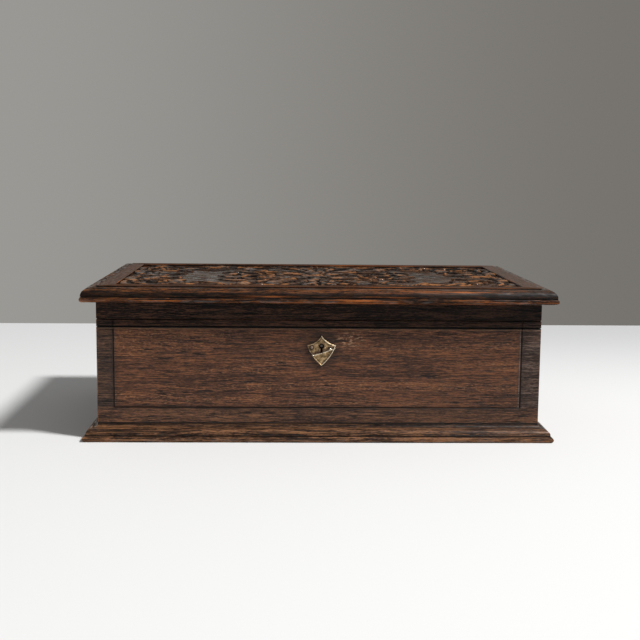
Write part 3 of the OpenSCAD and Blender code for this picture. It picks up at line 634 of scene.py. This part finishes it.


# bands: heights between which the moulding is painted dark, partly as shade on its lower faces and partly as
# dark wax, and how much. foot: where the sheen starts.
# level: height of the level borders, with their colours in flat. quirk: heights of the corner line painted
# dark as shade.
lidMould = dict(dark=tint(9, 5, 3), mid=tint(42, 24, 13), warm=tint(112, 66, 33), wearAndPaintedLight=tint(186, 104, 46),
                hollow=tint(3, 2, 2), hollows=0.95, rough=(0.6, 0.4), coat=(0.02, 0.85), rub=(0.56, 0.68),
                edge=0.075, bands=[(lidUnder + 3.6 * mm, lidUnder + 7.2 * mm, 0.85)], toRight=(-0.02, 0.8),
                foot=lidUnder + 4.2 * mm, level=lidTop - 0.3 * mm,
                quirk=(lidTop - 1.45 * mm, lidTop - 0.5 * mm), leftRub=-0.045,
                flat=(tint(38, 21, 9), tint(62, 34, 14), tint(90, 51, 22)), seed=(0.3, 0.1, 0.7))
baseMould = dict(dark=tint(28, 18, 13), mid=tint(70, 47, 33), warm=tint(132, 92, 63),
                 wearAndPaintedLight=tint(176, 122, 80), hollow=tint(12, 8, 6), hollows=0.75, rough=(0.6, 0.42),
                 coat=(0.05, 0.7), rub=(0.56, 0.72), edge=0.075,
                 bands=[(3.4 * mm, 5.2 * mm, 0.35), (coveLow - 0.2 * mm, baseTop + 1 * mm, 0.5)],
                 toRight=(-0.03, 0.9), foot=4.4 * mm, level=baseTop - 0.3 * mm,
                 quirk=(baseTop - 0.4 * mm, baseTop + 1 * mm), leftRub=0.03,
                 flat=(tint(40, 28, 21), tint(58, 42, 32), tint(84, 63, 48)), seed=(0.9, 0.6, 0.2))
carvedMould = dict(dark=tint(16, 10, 6), mid=tint(48, 30, 19), warm=tint(94, 61, 38),
                   wearAndPaintedLight=tint(158, 104, 62), hollow=tint(1, 1, 1), hollows=1.0, rough=(0.5, 0.3),
                   coat=(0.04, 1.0), rub=(0.50, 0.64), edge=0.06, seed=(0.5, 0.4, 0.1))


# Fibres follow each side of the mitred board. Arrises are rubbed to orange, and hollows are painted dark, as
# shade and dirt.
def mouldMaterial(name, mould, carved=False):
    material, tree, surface, place = newMaterial(name, mould["rough"][0], 0.15)
    surface["Coat Roughness"].default_value = 0.08 if carved else 0.28
    x, y, z = axes(tree, place)
    outX, outY = minus(tree, apart(tree, x), wallHalfX), minus(tree, apart(tree, y), wallHalfY)
    atEnd = calc(tree, "GREATER_THAN", outX, outY)
    if mould is lidMould:
        plain = calc(tree, "LESS_THAN", z, lidUnder + 0.2 * mm)
    else:
        plain = calc(tree, "MAXIMUM", calc(tree, "LESS_THAN", z, 0.2 * mm),
                     calc(tree, "GREATER_THAN", z, baseTop - 0.2 * mm))
    inside = times(tree, nearWalls(tree, x, y, -wallIn + 1 * mm, -wallIn - 1 * mm), plain)
    atEnd = 0.0 if carved else times(tree, atEnd, without(tree, plain))
    swapped = node(tree, "ShaderNodeCombineXYZ", {"X": y, "Y": x, "Z": z}).outputs[0]
    along = node(tree, "ShaderNodeMix", {"Factor": atEnd}, data_type="VECTOR")
    feed(tree, along.inputs[4], place)
    feed(tree, along.inputs[5], swapped)
    grainPlace = node(tree, "ShaderNodeMapping", {"Vector": along.outputs[1],
                                                  "Location": mould["seed"]}).outputs[0]
    figure = useGroup(tree, oakFigure, {"Vector": grainPlace})
    color = ramp(tree, figure["Tone"], [(0.22, mould["dark"]), (0.5, mould["mid"]), (0.84, mould["warm"])])
    color = blendColor(tree, times(tree, figure["Pore"], 0.85), color, oak["pore"])
    if carved:
        streak = cloud(tree, scaled(tree, grainPlace, 90, 110, 160), 3, 0.6)
    else:
        # long thin streaks and broad worn lengths
        thin, long = (cloud(tree, scaled(tree, grainPlace, *size), 3, 0.6)
                      for size in ((20, 1500, 1500), (9, 260, 260)))
        streak = plus(tree, times(tree, thin, 0.55), times(tree, long, 0.45))
        # painted shade and dark wax on the bands
        shadeAndWax = 0.0
        for low, high, share in mould["bands"]:
            band = hump(tree, z, (low, low + 0.5 * mm), (high - 0.7 * mm, high + 0.5 * mm), share)
            shadeAndWax = calc(tree, "MAXIMUM", shadeAndWax, band)
        shadeAndWax = times(tree, shadeAndWax, between(tree, streak, 0.42, 0.62, 1, 0.55))
        # painted shade on the quirk's corner line
        rise, fall = ((edge - 0.15 * mm, edge + 0.15 * mm) for edge in mould["quirk"])
        quirk = times(tree, hump(tree, z, rise, fall),
                      between(tree, calc(tree, "MAXIMUM", outX, outY), 0.3 * mm, 0.9 * mm, 1, 0))
        streak = plus(tree, streak, between(tree, x, -140 * mm, -20 * mm, mould["leftRub"], 0))
        streak = plus(tree, streak, between(tree, x, 30 * mm, 110 * mm, 0, mould["toRight"][0]))
        flat = ramp(tree, figure["Tone"], list(zip((0.15, 0.5, 0.85), mould["flat"])))
        flat = blendColor(tree, times(tree, atEnd, 0.55), flat, oak["endGrey"])
        level = times(tree, between(tree, z, mould["level"] - 0.1 * mm, mould["level"] + 0.1 * mm), 0.85)
        color = blendColor(tree, shadeAndWax, color, mould["dark"])
        color = blendColor(tree, level, color, flat)
    rub = between(tree, plus(tree, streak, times(tree, mark(tree, "edgeWear"), mould["edge"])), *mould["rub"])
    if not carved:
        rub = times(tree, rub, without(tree, times(tree, shadeAndWax, 0.8)))
        calm = times(tree, level, without(tree, mark(tree, "edgeWear")))
        rub = times(tree, rub, without(tree, calm))
    else:
        rub = times(tree, rub, mark(tree, "raised"))
    color = blendColor(tree, times(tree, rub, 0.85), color, mould["wearAndPaintedLight"])
    # painted shade and dirt: hollows, and the quirk on mouldings, darkened towards near black
    hollowShade = mark(tree, "cavity") if carved else calc(tree, "MAXIMUM", mark(tree, "cavity"), quirk)
    color = blendColor(tree, times(tree, hollowShade, mould["hollows"]), color, mould["hollow"])
    if not carved:
        bare = ramp(tree, figure["Tone"], [(0.1, oak["bareDark"]), (0.8, oak["bare"])])
        bare = blendColor(tree, times(tree, figure["Pore"], 0.6), bare, oak["dark"])
        color = blendColor(tree, inside, color, bare)
    if carved:
        # painted light: the carving is lighter towards the front and darker towards its left end
        shade = times(tree, between(tree, y, -80 * mm, 80 * mm, 1.2, 0.8),
                     between(tree, x, -130 * mm, -30 * mm, 0.86, 1))
        color = shaded(tree, color, shade)
    tree.links.new(color, surface["Base Color"])
    polish = cloud(tree, scaled(tree, grainPlace, 110, 420, 420), 2)
    rough = between(tree, polish, 0.42, 0.66, *mould["rough"])
    rough = calc(tree, "MAXIMUM", rough, times(tree, hollowShade if carved else level, 0.95))
    tree.links.new(rough, surface["Roughness"])
    coat = times(tree, between(tree, polish, 0.46, 0.62, *mould["coat"]), without(tree, hollowShade))
    if not carved:
        sheen = times(tree, between(tree, x, 30 * mm, 110 * mm, 0, mould["toRight"][1]),
                     between(tree, z, mould["foot"], mould["foot"] + 0.6 * mm))
        coat = plus(tree, coat, sheen)
        coat = times(tree, coat, without(tree, calc(tree, "MAXIMUM", inside, times(tree, level, 0.8))))
    tree.links.new(coat, surface["Coat Weight"])
    bumped(tree, surface, figure["Height"], (0.12 if carved else 0.3) * mm, 0.7)
    return material


# Holes for the screws under the base: a wide mouth, a cone for the head and a shank, turned round each axis
screwHoles = dict(places=[(x, y) for y in (-84.5, 84.5) for x in (-130, 0, 130)] + [(-144.5, 0), (144.5, 0)],
                  profile=[(0, -1), (3.5, -1), (3.5, 0.8), (1.8, 2.6), (1.8, 5), (0, 5)], sides=32)


def drillScrewHoles(board):
    profile, sides = np.array(screwHoles["profile"], float), screwHoles["sides"]
    turn = np.linspace(0, 2 * np.pi, sides, endpoint=False)
    points, strips, caps = [], [], []
    for x, y in screwHoles["places"]:
        first = sum(map(len, points))
        rows = profile[1:-1]
        ring = np.stack([x + rows[:, :1] * np.cos(turn), y + rows[:, :1] * np.sin(turn),
                         rows[:, 1:] * np.ones(sides)], 2).reshape(-1, 3)
        points += [ring, [(x, y, profile[0, 1]), (x, y, profile[-1, 1])]]
        number = first + np.arange(len(rows) * sides).reshape(len(rows), sides)
        hub = first + len(rows) * sides
        strips.append(gridQuads(closedRound(number).T))
        caps += [fan(hub, number[0]), fan(hub + 1, number[-1, ::-1])]
    cutter = meshPiece("cutter", np.concatenate(points) * mm, [np.concatenate(strips), np.concatenate(caps)])
    change = board.modifiers.new("screwHoles", "BOOLEAN")
    change.object, change.solver = cutter, "EXACT"
    shaped = bpy.data.meshes.new_from_object(board.evaluated_get(bpy.context.evaluated_depsgraph_get()))
    board.modifiers.clear()
    board.data = shaped
    bpy.data.objects.remove(cutter)


lidBoard = mitredBoard("lidBoard", lidProfile(), mouldings["seed"])
finish(lidBoard, mouldMaterial("lidMouldOak", lidMould))
seat(lidBoard, "lid", "moulded_oak", "lid_board")
baseBoard = mitredBoard("baseBoard", baseProfile(), mouldings["seed"] + 1)
drillScrewHoles(baseBoard)
finish(baseBoard, mouldMaterial("baseMouldOak", baseMould))
seat(baseBoard, "box", "moulded_oak", "base_board")
print("moulded boards made")

# Carving: foliage scrolls in low relief, one quarter of the field mirrored to the other three.
# Every form lies on a spine in millimetres from the middle of the lid, x to the right and y to the front.
carving = dict(cell=0.5, halfX=wallHalfX / mm - 11.1, halfY=wallHalfY / mm - 11.1, rise=2.05, ground=0.12,
               moat=0.8, moatDepth=0.75, base=0.4, seed=21, panels=3)
stems = [
    dict(spine=[(9, 40), (15, 56), (30, 66), (50, 68), (74, 61), (98, 66), (119, 66), (130, 53), (128, 37),
                (115, 31), (106, 39), (110, 49), (119, 46)], wide=(2.3, 1.1), rise=1.7),
    dict(spine=[(17, 22), (32, 29), (48, 25), (56, 12), (50, 1), (38, -1), (32, 8), (39, 14), (44, 9)],
         wide=(2.1, 1.0), rise=1.6),
    dict(spine=[(64, 64), (72, 52), (84, 47), (93, 52), (90, 60), (83, 57)], wide=(1.5, 0.9), rise=1.3),
]
leaves = [
    dict(spine=[(28, 65), (32, 50), (24, 38), (12, 33)], wide=8.5, lobes=6, rise=1.9),
    dict(spine=[(50, 67), (52, 54), (45, 42), (33, 38)], wide=7.5, lobes=6, rise=1.9),
    dict(spine=[(58, 66), (66, 73), (80, 75), (94, 74)], wide=4.6, lobes=6, rise=1.5),
    dict(spine=[(40, 69), (28, 74), (14, 75), (3, 73)], wide=4.4, lobes=6, rise=1.5),
    dict(spine=[(88, 63), (98, 54), (101, 42), (95, 32)], wide=7.5, lobes=6, rise=1.8),
    dict(spine=[(112, 67), (122, 73), (133, 76)], wide=5.5, lobes=4, rise=1.7),
    dict(spine=[(124, 62), (134, 63), (137, 52), (136, 40)], wide=4.2, lobes=5, rise=1.6),
    dict(spine=[(129, 42), (135, 30), (134, 17), (128, 6)], wide=6.5, lobes=6, rise=1.9),
    dict(spine=[(122, 32), (119, 20), (109, 14), (99, 15)], wide=6.5, lobes=5, rise=1.8),
    dict(spine=[(20, 24), (28, 16), (24, 6)], wide=5.0, lobes=4, rise=1.5),
    dict(spine=[(54, 18), (63, 14), (66, 5), (74, 0)], wide=5.5, lobes=5, rise=1.7),
    dict(spine=[(44, 28), (56, 33), (66, 30), (72, 24)], wide=5.0, lobes=5, rise=1.6),
    dict(spine=[(7, 8), (14, 15), (24, 18), (30, 12)], wide=5.5, lobes=5, rise=1.9),
    dict(spine=[(0, 12), (1, 22), (4, 34), (2, 46)], wide=6.5, lobes=6, rise=2.0),
    dict(spine=[(0, 44), (4, 54), (10, 62), (8, 69)], wide=4.6, lobes=4, rise=1.7),
    dict(spine=[(138, 2), (128, 1), (116, 2), (106, 0)], wide=6.0, lobes=5, rise=1.7),
]
beads = [(119.5, 45, 2.6), (42.5, 10.5, 2.4), (85, 57.5, 1.9), (0, 0, 3.6), (70, 68, 1.6), (105, 63, 1.6),
         (60, 22, 1.5), (132, 8, 1.6), (2.2, 71, 1.7), (100, 22, 1.5), (38, 34, 1.4)]
rosettes = [dict(middle=(0, 0), radius=13.5, petals=8, rise=2.0),
            dict(middle=(0, 0), radius=7.0, petals=8, rise=2.05)]


def throughPoints(points, count):
    # Catmull-Rom curve: each stretch is a cubic fixed by the four points round it
    points = np.array([2 * np.array(points[0]) - points[1], *points, 2 * np.array(points[-1]) - points[-2]],
                      float)
    share = np.linspace(0, len(points) - 3 - 1e-9, count)
    i, t = share.astype(int), (share % 1)[:, None]
    a, b, c, d = points[i], points[i + 1], points[i + 2], points[i + 3]
    square, cube = 2 * a - 5 * b + 4 * c - d, 3 * b - a - 3 * c + d
    return 0.5 * (2 * b + (c - a) * t + square * t ** 2 + cube * t ** 3)


def nearSpine(x, y, spine):
    # share along the spine and distance from it, for each grid point
    start, step = spine[:-1], np.diff(spine, axis=0)
    length = np.linalg.norm(step, axis=1)
    toX, toY = x[..., None] - start[:, 0], y[..., None] - start[:, 1]
    t = np.clip((toX * step[:, 0] + toY * step[:, 1]) / length ** 2, 0, 1)
    gap = np.hypot(toX - t * step[:, 0], toY - t * step[:, 1])
    pick = gap.argmin(-1)[..., None]
    take = lambda values: np.take_along_axis(values, pick, -1)[..., 0]
    run = np.concatenate([[0], np.cumsum(length)])
    return (run[pick[..., 0]] + take(t) * length[pick[..., 0]]) / run[-1], take(gap)


def carvedField():
    c = carving
    xs = np.linspace(-c["halfX"], c["halfX"], int(2 * c["halfX"] / c["cell"]) + 1)
    ys = np.linspace(-c["halfY"], c["halfY"], int(2 * c["halfY"] / c["cell"]) + 1)
    height = np.zeros((len(xs), len(ys)))

    def lay(points, margin, shape):
        # a new form first cuts a moat round itself in what lies below it
        points, reach = np.atleast_2d(points), margin + c["moat"] + 1
        i, j = (slice(*np.searchsorted(line, [low, high])) for line, low, high in
                zip((xs, ys), points.min(0) - reach, points.max(0) + reach))
        x, y = np.meshgrid(xs[i], ys[j], indexing="ij")
        form, outside = shape(x, y)
        kept = 1 - c["moatDepth"] * (1 - np.clip(outside / c["moat"], 0, 1))
        height[i, j] = np.maximum(height[i, j] * kept, np.where(outside <= 0, form, 0))

    def leaf(spine, wide, lobes, rise):
        def shape(x, y):
            along, gap = nearSpine(x, y, spine)
            phase = along * lobes - 0.75 * gap / wide + 0.15
            lobe = np.abs(np.sin(np.pi * phase))
            bulk = np.sin(np.pi * np.clip(along, 0, 1) ** 0.75) ** 0.6
            reach = wide * bulk * (0.50 + 0.50 * lobe ** 0.6)
            part = np.clip(gap / np.maximum(reach, 0.05), 0, 1)
            arch = 0.62 + 0.38 * np.sin(np.pi * along ** 1.2)
            body = (1 - part ** 3) * (1 - 0.22 * lobe * np.sin(np.pi * np.clip(part, 0, 1)) + 0.10 * part)
            vein = 0.30 * np.exp(-(gap / 0.7) ** 2) * (1 - along)
            return rise * arch * (body - vein), gap - reach
        lay(spine, wide, shape)

    def stem(spine, wide, rise):
        def shape(x, y):
            along, gap = nearSpine(x, y, spine)
            reach = wide[0] + (wide[1] - wide[0]) * along
            part = np.clip(gap / reach, 0, 1)
            body = np.sqrt(1 - part ** 2.4) - 0.22 * np.exp(-((part - 0.5) / 0.16) ** 2)
            return rise * body, gap - reach
        lay(spine, 4, shape)

    def bead(x0, y0, radius):
        def shape(x, y):
            gap = np.hypot(x - x0, y - y0)
            return c["rise"] * np.sqrt(np.clip(1 - (gap / radius) ** 2, 0, 1)), gap - radius
        lay((x0, y0), radius, shape)

    def rosette(middle, radius, petals, rise):
        def shape(x, y):
            gap, turn = np.hypot(x - middle[0], y - middle[1]), np.arctan2(y - middle[1], x - middle[0])
            petal = np.abs(np.cos(petals * turn / 2 + radius))
            reach = radius * (0.74 + 0.26 * petal ** 0.7)
            part = np.clip(gap / reach, 0, 1)
            return rise * (1 - part ** 4) * (0.6 + 0.5 * part - 0.3 * (1 - petal) * part), gap - reach
        lay(middle, radius, shape)

    for flipX in (1, -1):
        for flipY in (1, -1):
            turned = lambda points, count: throughPoints(points, count) * (flipX, -flipY)
            for form in stems:
                stem(turned(form["spine"], 90), form["wide"], form["rise"])
            for form in leaves:
                leaf(turned(form["spine"], 40), form["wide"], form["lobes"], form["rise"])
            for x, y, radius in beads:
                bead(x * flipX, -y * flipY, radius)
    for form in rosettes:
        rosette(**form)
    bead(0, 0, 3.2)
    random = np.random.default_rng(c["seed"])
    punched = smoothNoise(random, len(xs) // 2, len(ys) // 2, height.shape)
    ground = c["ground"] * (1 + 0.5 * punched) * np.exp(-height / 0.15)
    broad, fine = (smoothNoise(random, *counts, height.shape) for counts in ((40, 24), (160, 90)))
    uneven = 1 + 0.10 * broad + 0.06 * fine
    return xs, ys, np.clip(height * uneven, 0, c["rise"]) + np.clip(ground, 0.02, 0.4) * (height < 0.5)


def blurred(values, reach):
    for axis in (0, 1):
        values = sum(np.roll(values, shift, axis) for shift in range(-reach, reach + 1)) / (2 * reach + 1)
    return values


# Closed piece over part of a grid: point = (x, y, floor + height), with walls and a base below
def carvedPanel(name, xs, ys, height, attributes):
    floor = lidTop - mouldings["sunk"]
    x, y = np.meshgrid(xs, ys, indexing="ij")
    rows, columns = height.shape
    top = np.stack([x * mm, y * mm, floor + height * mm], -1).reshape(-1, 3)
    number = np.arange(rows * columns).reshape(rows, columns)
    rim = np.concatenate([number[:-1, 0], number[-1, :-1], number[:0:-1, -1], number[0, :0:-1]])
    low = top[rim] * (1, 1, 0) + (0, 0, floor - carving["base"] * mm)
    first = len(top)
    ring = np.arange(len(rim))
    after = (ring + 1) % len(rim)
    walls = np.stack([rim[after], rim, first + ring, first + after], 1)
    hub = first + len(rim)
    middle = np.array([[(xs[0] + xs[-1]) / 2 * mm, (ys[0] + ys[-1]) / 2 * mm, floor - carving["base"] * mm]])
    caps = fan(hub, first + ring)
    spare = np.zeros(len(rim) + 1)
    marks = {label: np.append(values.ravel(), spare) for label, values in attributes.items()}
    return meshPiece(name, np.concatenate([top, low, middle]),
                     [np.concatenate([gridQuads(number), walls]), caps], marks, 55)


fieldX, fieldY, relief = carvedField()
curve = relief - blurred(relief, 2)
# painted shade = (near forms) * (low on them)
crowded = np.clip((blurred(relief, 5) - 0.25) / 0.5, 0, 1)
marks = {"edgeWear": np.clip(curve / 0.35, 0, 1) * np.clip(relief / 1.2, 0, 1),
         "raised": np.clip((relief - 0.6) / 0.4, 0, 1),
         "cavity": crowded * np.clip((1.3 - relief) / 0.5, 0, 1)}
carvedOak = mouldMaterial("carvedOak", carvedMould, True)
splits = np.linspace(0, len(fieldX) - 1, carving["panels"] + 1).astype(int)
for label, start, end in zip(("left", "middle", "right"), splits[:-1], splits[1:]):
    part = slice(start, end + 1)
    panel = carvedPanel(label + "Carving", fieldX[part], fieldY, relief[part],
                        {k: v[part] for k, v in marks.items()})
    finish(panel, carvedOak)
    seat(panel, "lid", "moulded_oak", "lid_board")
print("carving made")

# Brass and steel, with tarnish in clouds and fine scratches
brass = dict(dark=tint(62, 46, 26), mid=tint(122, 96, 54), light=tint(168, 138, 86), rough=(0.52, 0.30),
             metallic=0.9)
steel = dict(dark=tint(46, 38, 32), mid=tint(92, 87, 82), light=tint(138, 134, 129), rough=(0.55, 0.34),
             metallic=0.9)
dullPin, pinHighlight = tint(142, 124, 110), tint(230, 214, 184)


def metalMaterial(name, metal, size=330):
    material, tree, surface, place = newMaterial(name)
    surface["Metallic"].default_value = metal["metallic"]
    tarnish = cloud(tree, scaled(tree, place, size, size, size), 4, 0.6)
    scratch = cloud(tree, scaled(tree, place, 300, 5000, 5000), 1)
    color = ramp(tree, tarnish, [(0.34, metal["dark"]), (0.5, metal["mid"]), (0.68, metal["light"])])
    color = blendColor(tree, between(tree, scratch, 0.6, 0.7, 0, 0.35), color, metal["light"])
    tree.links.new(color, surface["Base Color"])
    tree.links.new(between(tree, tarnish, 0.34, 0.66, *metal["rough"]), surface["Roughness"])
    bumped(tree, surface, plus(tree, tarnish, times(tree, scratch, 0.3)), 0.06 * mm, 0.5)
    return material


fittings = {
    "brass": ["left_hinge_body_leaf", "left_hinge_lid_leaf", "left_hinge_pin", "right_hinge_body_leaf",
              "right_hinge_lid_leaf", "right_hinge_pin", "hinge_body_screws", "hinge_lid_screws",
              "lock_plate", "lock_screws", "lid_link_plate", "link_plate_screws"],
    "steel": ["lock_case", "lock_bolt", "lock_spring", "lock_key_pin", "base_screws"],
}
for (label, nodes), metal in zip(fittings.items(), (brass, steel)):
    material = metalMaterial(label, metal)
    for name in nodes:
        finish(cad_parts[name], material)


# The left pin is dull, and the right one is painted bright as a highlight
def pinMaterial():
    material, tree, surface, place = newMaterial("pinBrass")
    surface["Metallic"].default_value = 0.8
    x = axes(tree, place)["X"]
    stain = cloud(tree, scaled(tree, place, 900, 900, 900), 3)
    right = between(tree, x, -1 * mm, 2 * mm)
    color = blendColor(tree, right, dullPin, pinHighlight)
    color = blendColor(tree, between(tree, stain, 0.45, 0.7, 0, 0.5), color, tint(60, 48, 38))
    tree.links.new(color, surface["Base Color"])
    tree.links.new(between(tree, right, 0, 1, 0.62, 0.24), surface["Roughness"])
    bumped(tree, surface, stain, 0.1 * mm, 0.5)
    return material


finish(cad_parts["escutcheon_pins"], pinMaterial())
print("fittings finished")

# Escutcheon: a rimmed shield, dented along a crease. Grid from the keyhole's outline to the shield's:
# point = keyhole(turn) * (1 - share) + outline(turn) * share, and the height stands out from the wall.
shieldLow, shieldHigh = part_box("escutcheon")
shield = dict(middle=(shieldLow.x + shieldHigh.x) / 2, tip=shieldHigh.z,
              half=(shieldHigh.x - shieldLow.x) / 2, high=shieldHigh.z - shieldLow.z, horn=6.9 * mm,
              topSag=1.5 * mm, sideSag=1.2 * mm, keyRadius=1.7 * mm, slotHalf=0.75 * mm, slotEnd=4.7 * mm,
              out=shieldHigh.y - shieldLow.y, rim=0.85 * mm, rimHigh=0.35 * mm, rings=44,
              pins=[(-5.6, 63.8), (6.9, 62.4)], crease=[(-9, 57.6), (-6.3, 58.2), (-0.3, 59.6), (6.8, 62.0),
                                                        (10, 63.2)], ledge=0.7, valley=3.0, dent=0.5,
              lip=0.25, seed=11)


def bowed(first, last, sag, count):
    # arc on a chord: offset = sqrt(radius^2 - (distance from the chord's middle)^2) - (radius - sag)
    first, last = np.array(first), np.array(last)
    chord = np.linalg.norm(last - first)
    radius = chord ** 2 / (8 * abs(sag)) + abs(sag) / 2
    share = np.linspace(0, 1, count, endpoint=False)[:, None]
    rise = np.sqrt(radius ** 2 - (chord * (share - 0.5)) ** 2) - (radius - abs(sag))
    normal = np.array([last[1] - first[1], first[0] - last[0]]) / chord * np.sign(sag)
    return first + (last - first) * share + normal * rise


def makeShield():
    p = shield
    key = np.array(keyPlace)
    tip, foot = (p["middle"], p["tip"]), (p["middle"], p["tip"] - p["high"])
    right, left = ((p["middle"] + side * p["half"], p["tip"] - p["horn"]) for side in (1, -1))
    outline = np.concatenate([bowed(tip, left, -p["topSag"], 160), bowed(left, foot, p["sideSag"], 200),
                              bowed(foot, right, p["sideSag"], 200), bowed(right, tip, -p["topSag"], 160)])
    polar = lambda points: np.arctan2(points[:, 1] - key[1], points[:, 0] - key[0])
    corners = np.array([tip, left, foot, right])
    slot = np.array([(side * p["slotHalf"], -end) for side in (1, -1)
                     for end in (p["slotEnd"], math.sqrt(p["keyRadius"] ** 2 - p["slotHalf"] ** 2))]) + key
    turns = np.unique(np.round(np.concatenate([np.radians(np.arange(-179, 181, 2.0)), polar(corners),
                                               polar(slot)]), 6))
    angles = polar(outline)
    order = np.argsort(angles)
    reach = np.interp(turns, angles[order], np.linalg.norm(outline - key, axis=1)[order], period=2 * np.pi)
    down = np.sin(turns) < -1e-6
    side = p["slotHalf"] / np.maximum(np.abs(np.cos(turns)), 1e-6)
    end = p["slotEnd"] / np.maximum(np.abs(np.sin(turns)), 1e-6)
    hole = np.where(down, np.maximum(p["keyRadius"], np.minimum(side, end)), p["keyRadius"])
    share = 1 - (1 - np.linspace(0, 1, p["rings"])) ** 1.2
    radius = hole + (reach - hole) * share[:, None]
    x, z = (key[0] + radius * np.cos(turns)) / mm, (key[1] + radius * np.sin(turns)) / mm
    edge = np.min(np.hypot(x[..., None] - outline[:, 0] / mm, z[..., None] - outline[:, 1] / mm), axis=-1)
    fromPin = np.min([np.hypot(x - a, z - b) for a, b in p["pins"]], axis=0)
    fromHole = (radius - hole) / mm
    creaseX, creaseZ = np.array(p["crease"]).T
    above = z - np.interp(x, creaseX, creaseZ)
    rise = np.clip(above / p["ledge"], 0, 1)
    fall = np.clip((above - p["ledge"]) / (p["valley"] - p["ledge"]), 0, 1)
    dent = rise * rise * (3 - 2 * rise) * (1 - fall) * (1 - np.exp(-(fromPin / 1.4) ** 4))
    lip = np.exp(-((above + 0.1) / 0.45) ** 2)
    rimShare = np.clip(edge * mm / p["rim"], 0, 1)
    plate = (p["out"] - p["rimHigh"]) / mm
    random = np.random.default_rng(p["seed"])
    hammered = 0.035 * smoothNoise(random, 14, 50, x.shape)
    rim = p["rimHigh"] / mm * np.sin(np.pi * rimShare) ** 0.7 * (1 - 0.6 * dent)
    height = (plate + rim - p["dent"] * dent + p["lip"] * lip * rimShare
              + hammered * rimShare * (rimShare > 0.99))
    height = np.minimum(height, p["out"] / mm)
    front = np.stack([x * mm, shieldHigh.y - height * mm, z * mm], -1)
    back = front[[-1, 0]] * (1, 0, 1) + (0, shieldHigh.y, 0)
    rows, columns = x.shape
    number = np.arange(rows * columns).reshape(rows, columns)
    behind = np.arange(rows * columns, (rows + 2) * columns).reshape(2, columns)
    quads = gridQuads(closedRound(np.concatenate([number, behind, number[:1]])))
    ring = lambda gap, start, width: np.exp(-((np.maximum(gap - start, 0)) / width) ** 2) * (gap >= 0)
    # tarnish and painted shade: dark rings round the pins and the keyhole, the dent above the crease, and a
    # line inside the rim
    tarnishAndShade = np.max([0.95 * ring(fromPin, 1.45, 0.45), 0.85 * ring(fromHole, 0.1, 0.5),
                    0.95 * np.clip(dent * 1.3, 0, 1), 0.7 * np.exp(-((edge - 1.25) / 0.35) ** 2)], axis=0)
    # painted highlight: the crease's lip and the crest of the rim painted pale, more on the right half
    paintedHighlight = np.max([lip, np.exp(-((edge - 0.45) / 0.3) ** 2) * (0.6 + 0.4 * (x > p["middle"] / mm))], axis=0)
    spare = np.zeros(2 * columns)
    return meshPiece("shield", np.concatenate([front.reshape(-1, 3), back.reshape(-1, 3)]), [quads], {
        "tarnishAndShade": np.append(tarnishAndShade, spare + 0.8), "paintedHighlight": np.append(paintedHighlight, spare)}, 50)


def shieldMaterial():
    material, tree, surface, place = newMaterial("shieldBrass")
    surface["Metallic"].default_value = 0.85
    mottle = cloud(tree, scaled(tree, place, 420, 420, 420), 4, 0.65)
    pits = cloud(tree, scaled(tree, place, 1500, 1500, 1500), 2)
    color = ramp(tree, mottle, [(0.36, tint(96, 78, 56)), (0.5, tint(156, 128, 90)),
                                (0.64, tint(214, 182, 138))])
    color = blendColor(tree, between(tree, pits, 0.56, 0.7, 0, 0.5), color, tint(66, 50, 32))
    # tarnish and painted shade from the mark
    color = blendColor(tree, times(tree, mark(tree, "tarnishAndShade"), 0.85), color, tint(64, 46, 40))
    # painted highlight from the mark, pale on the lip and the rim
    shown = between(tree, plus(tree, mark(tree, "paintedHighlight"), times(tree, mottle, 0.4)), 0.65, 1.0)
    color = blendColor(tree, shown, color, tint(240, 224, 198))
    tree.links.new(color, surface["Base Color"])
    rough = plus(tree, between(tree, mottle, 0.35, 0.65, 0.5, 0.32), times(tree, shown, -0.1))
    tree.links.new(rough, surface["Roughness"])
    bumped(tree, surface, plus(tree, mottle, times(tree, pits, 0.4)), 0.25 * mm, 0.7)
    return material


shieldPlate = makeShield()
finish(shieldPlate, shieldMaterial())
seat(shieldPlate, "box", "aged_brass", "escutcheon")
print("escutcheon made")
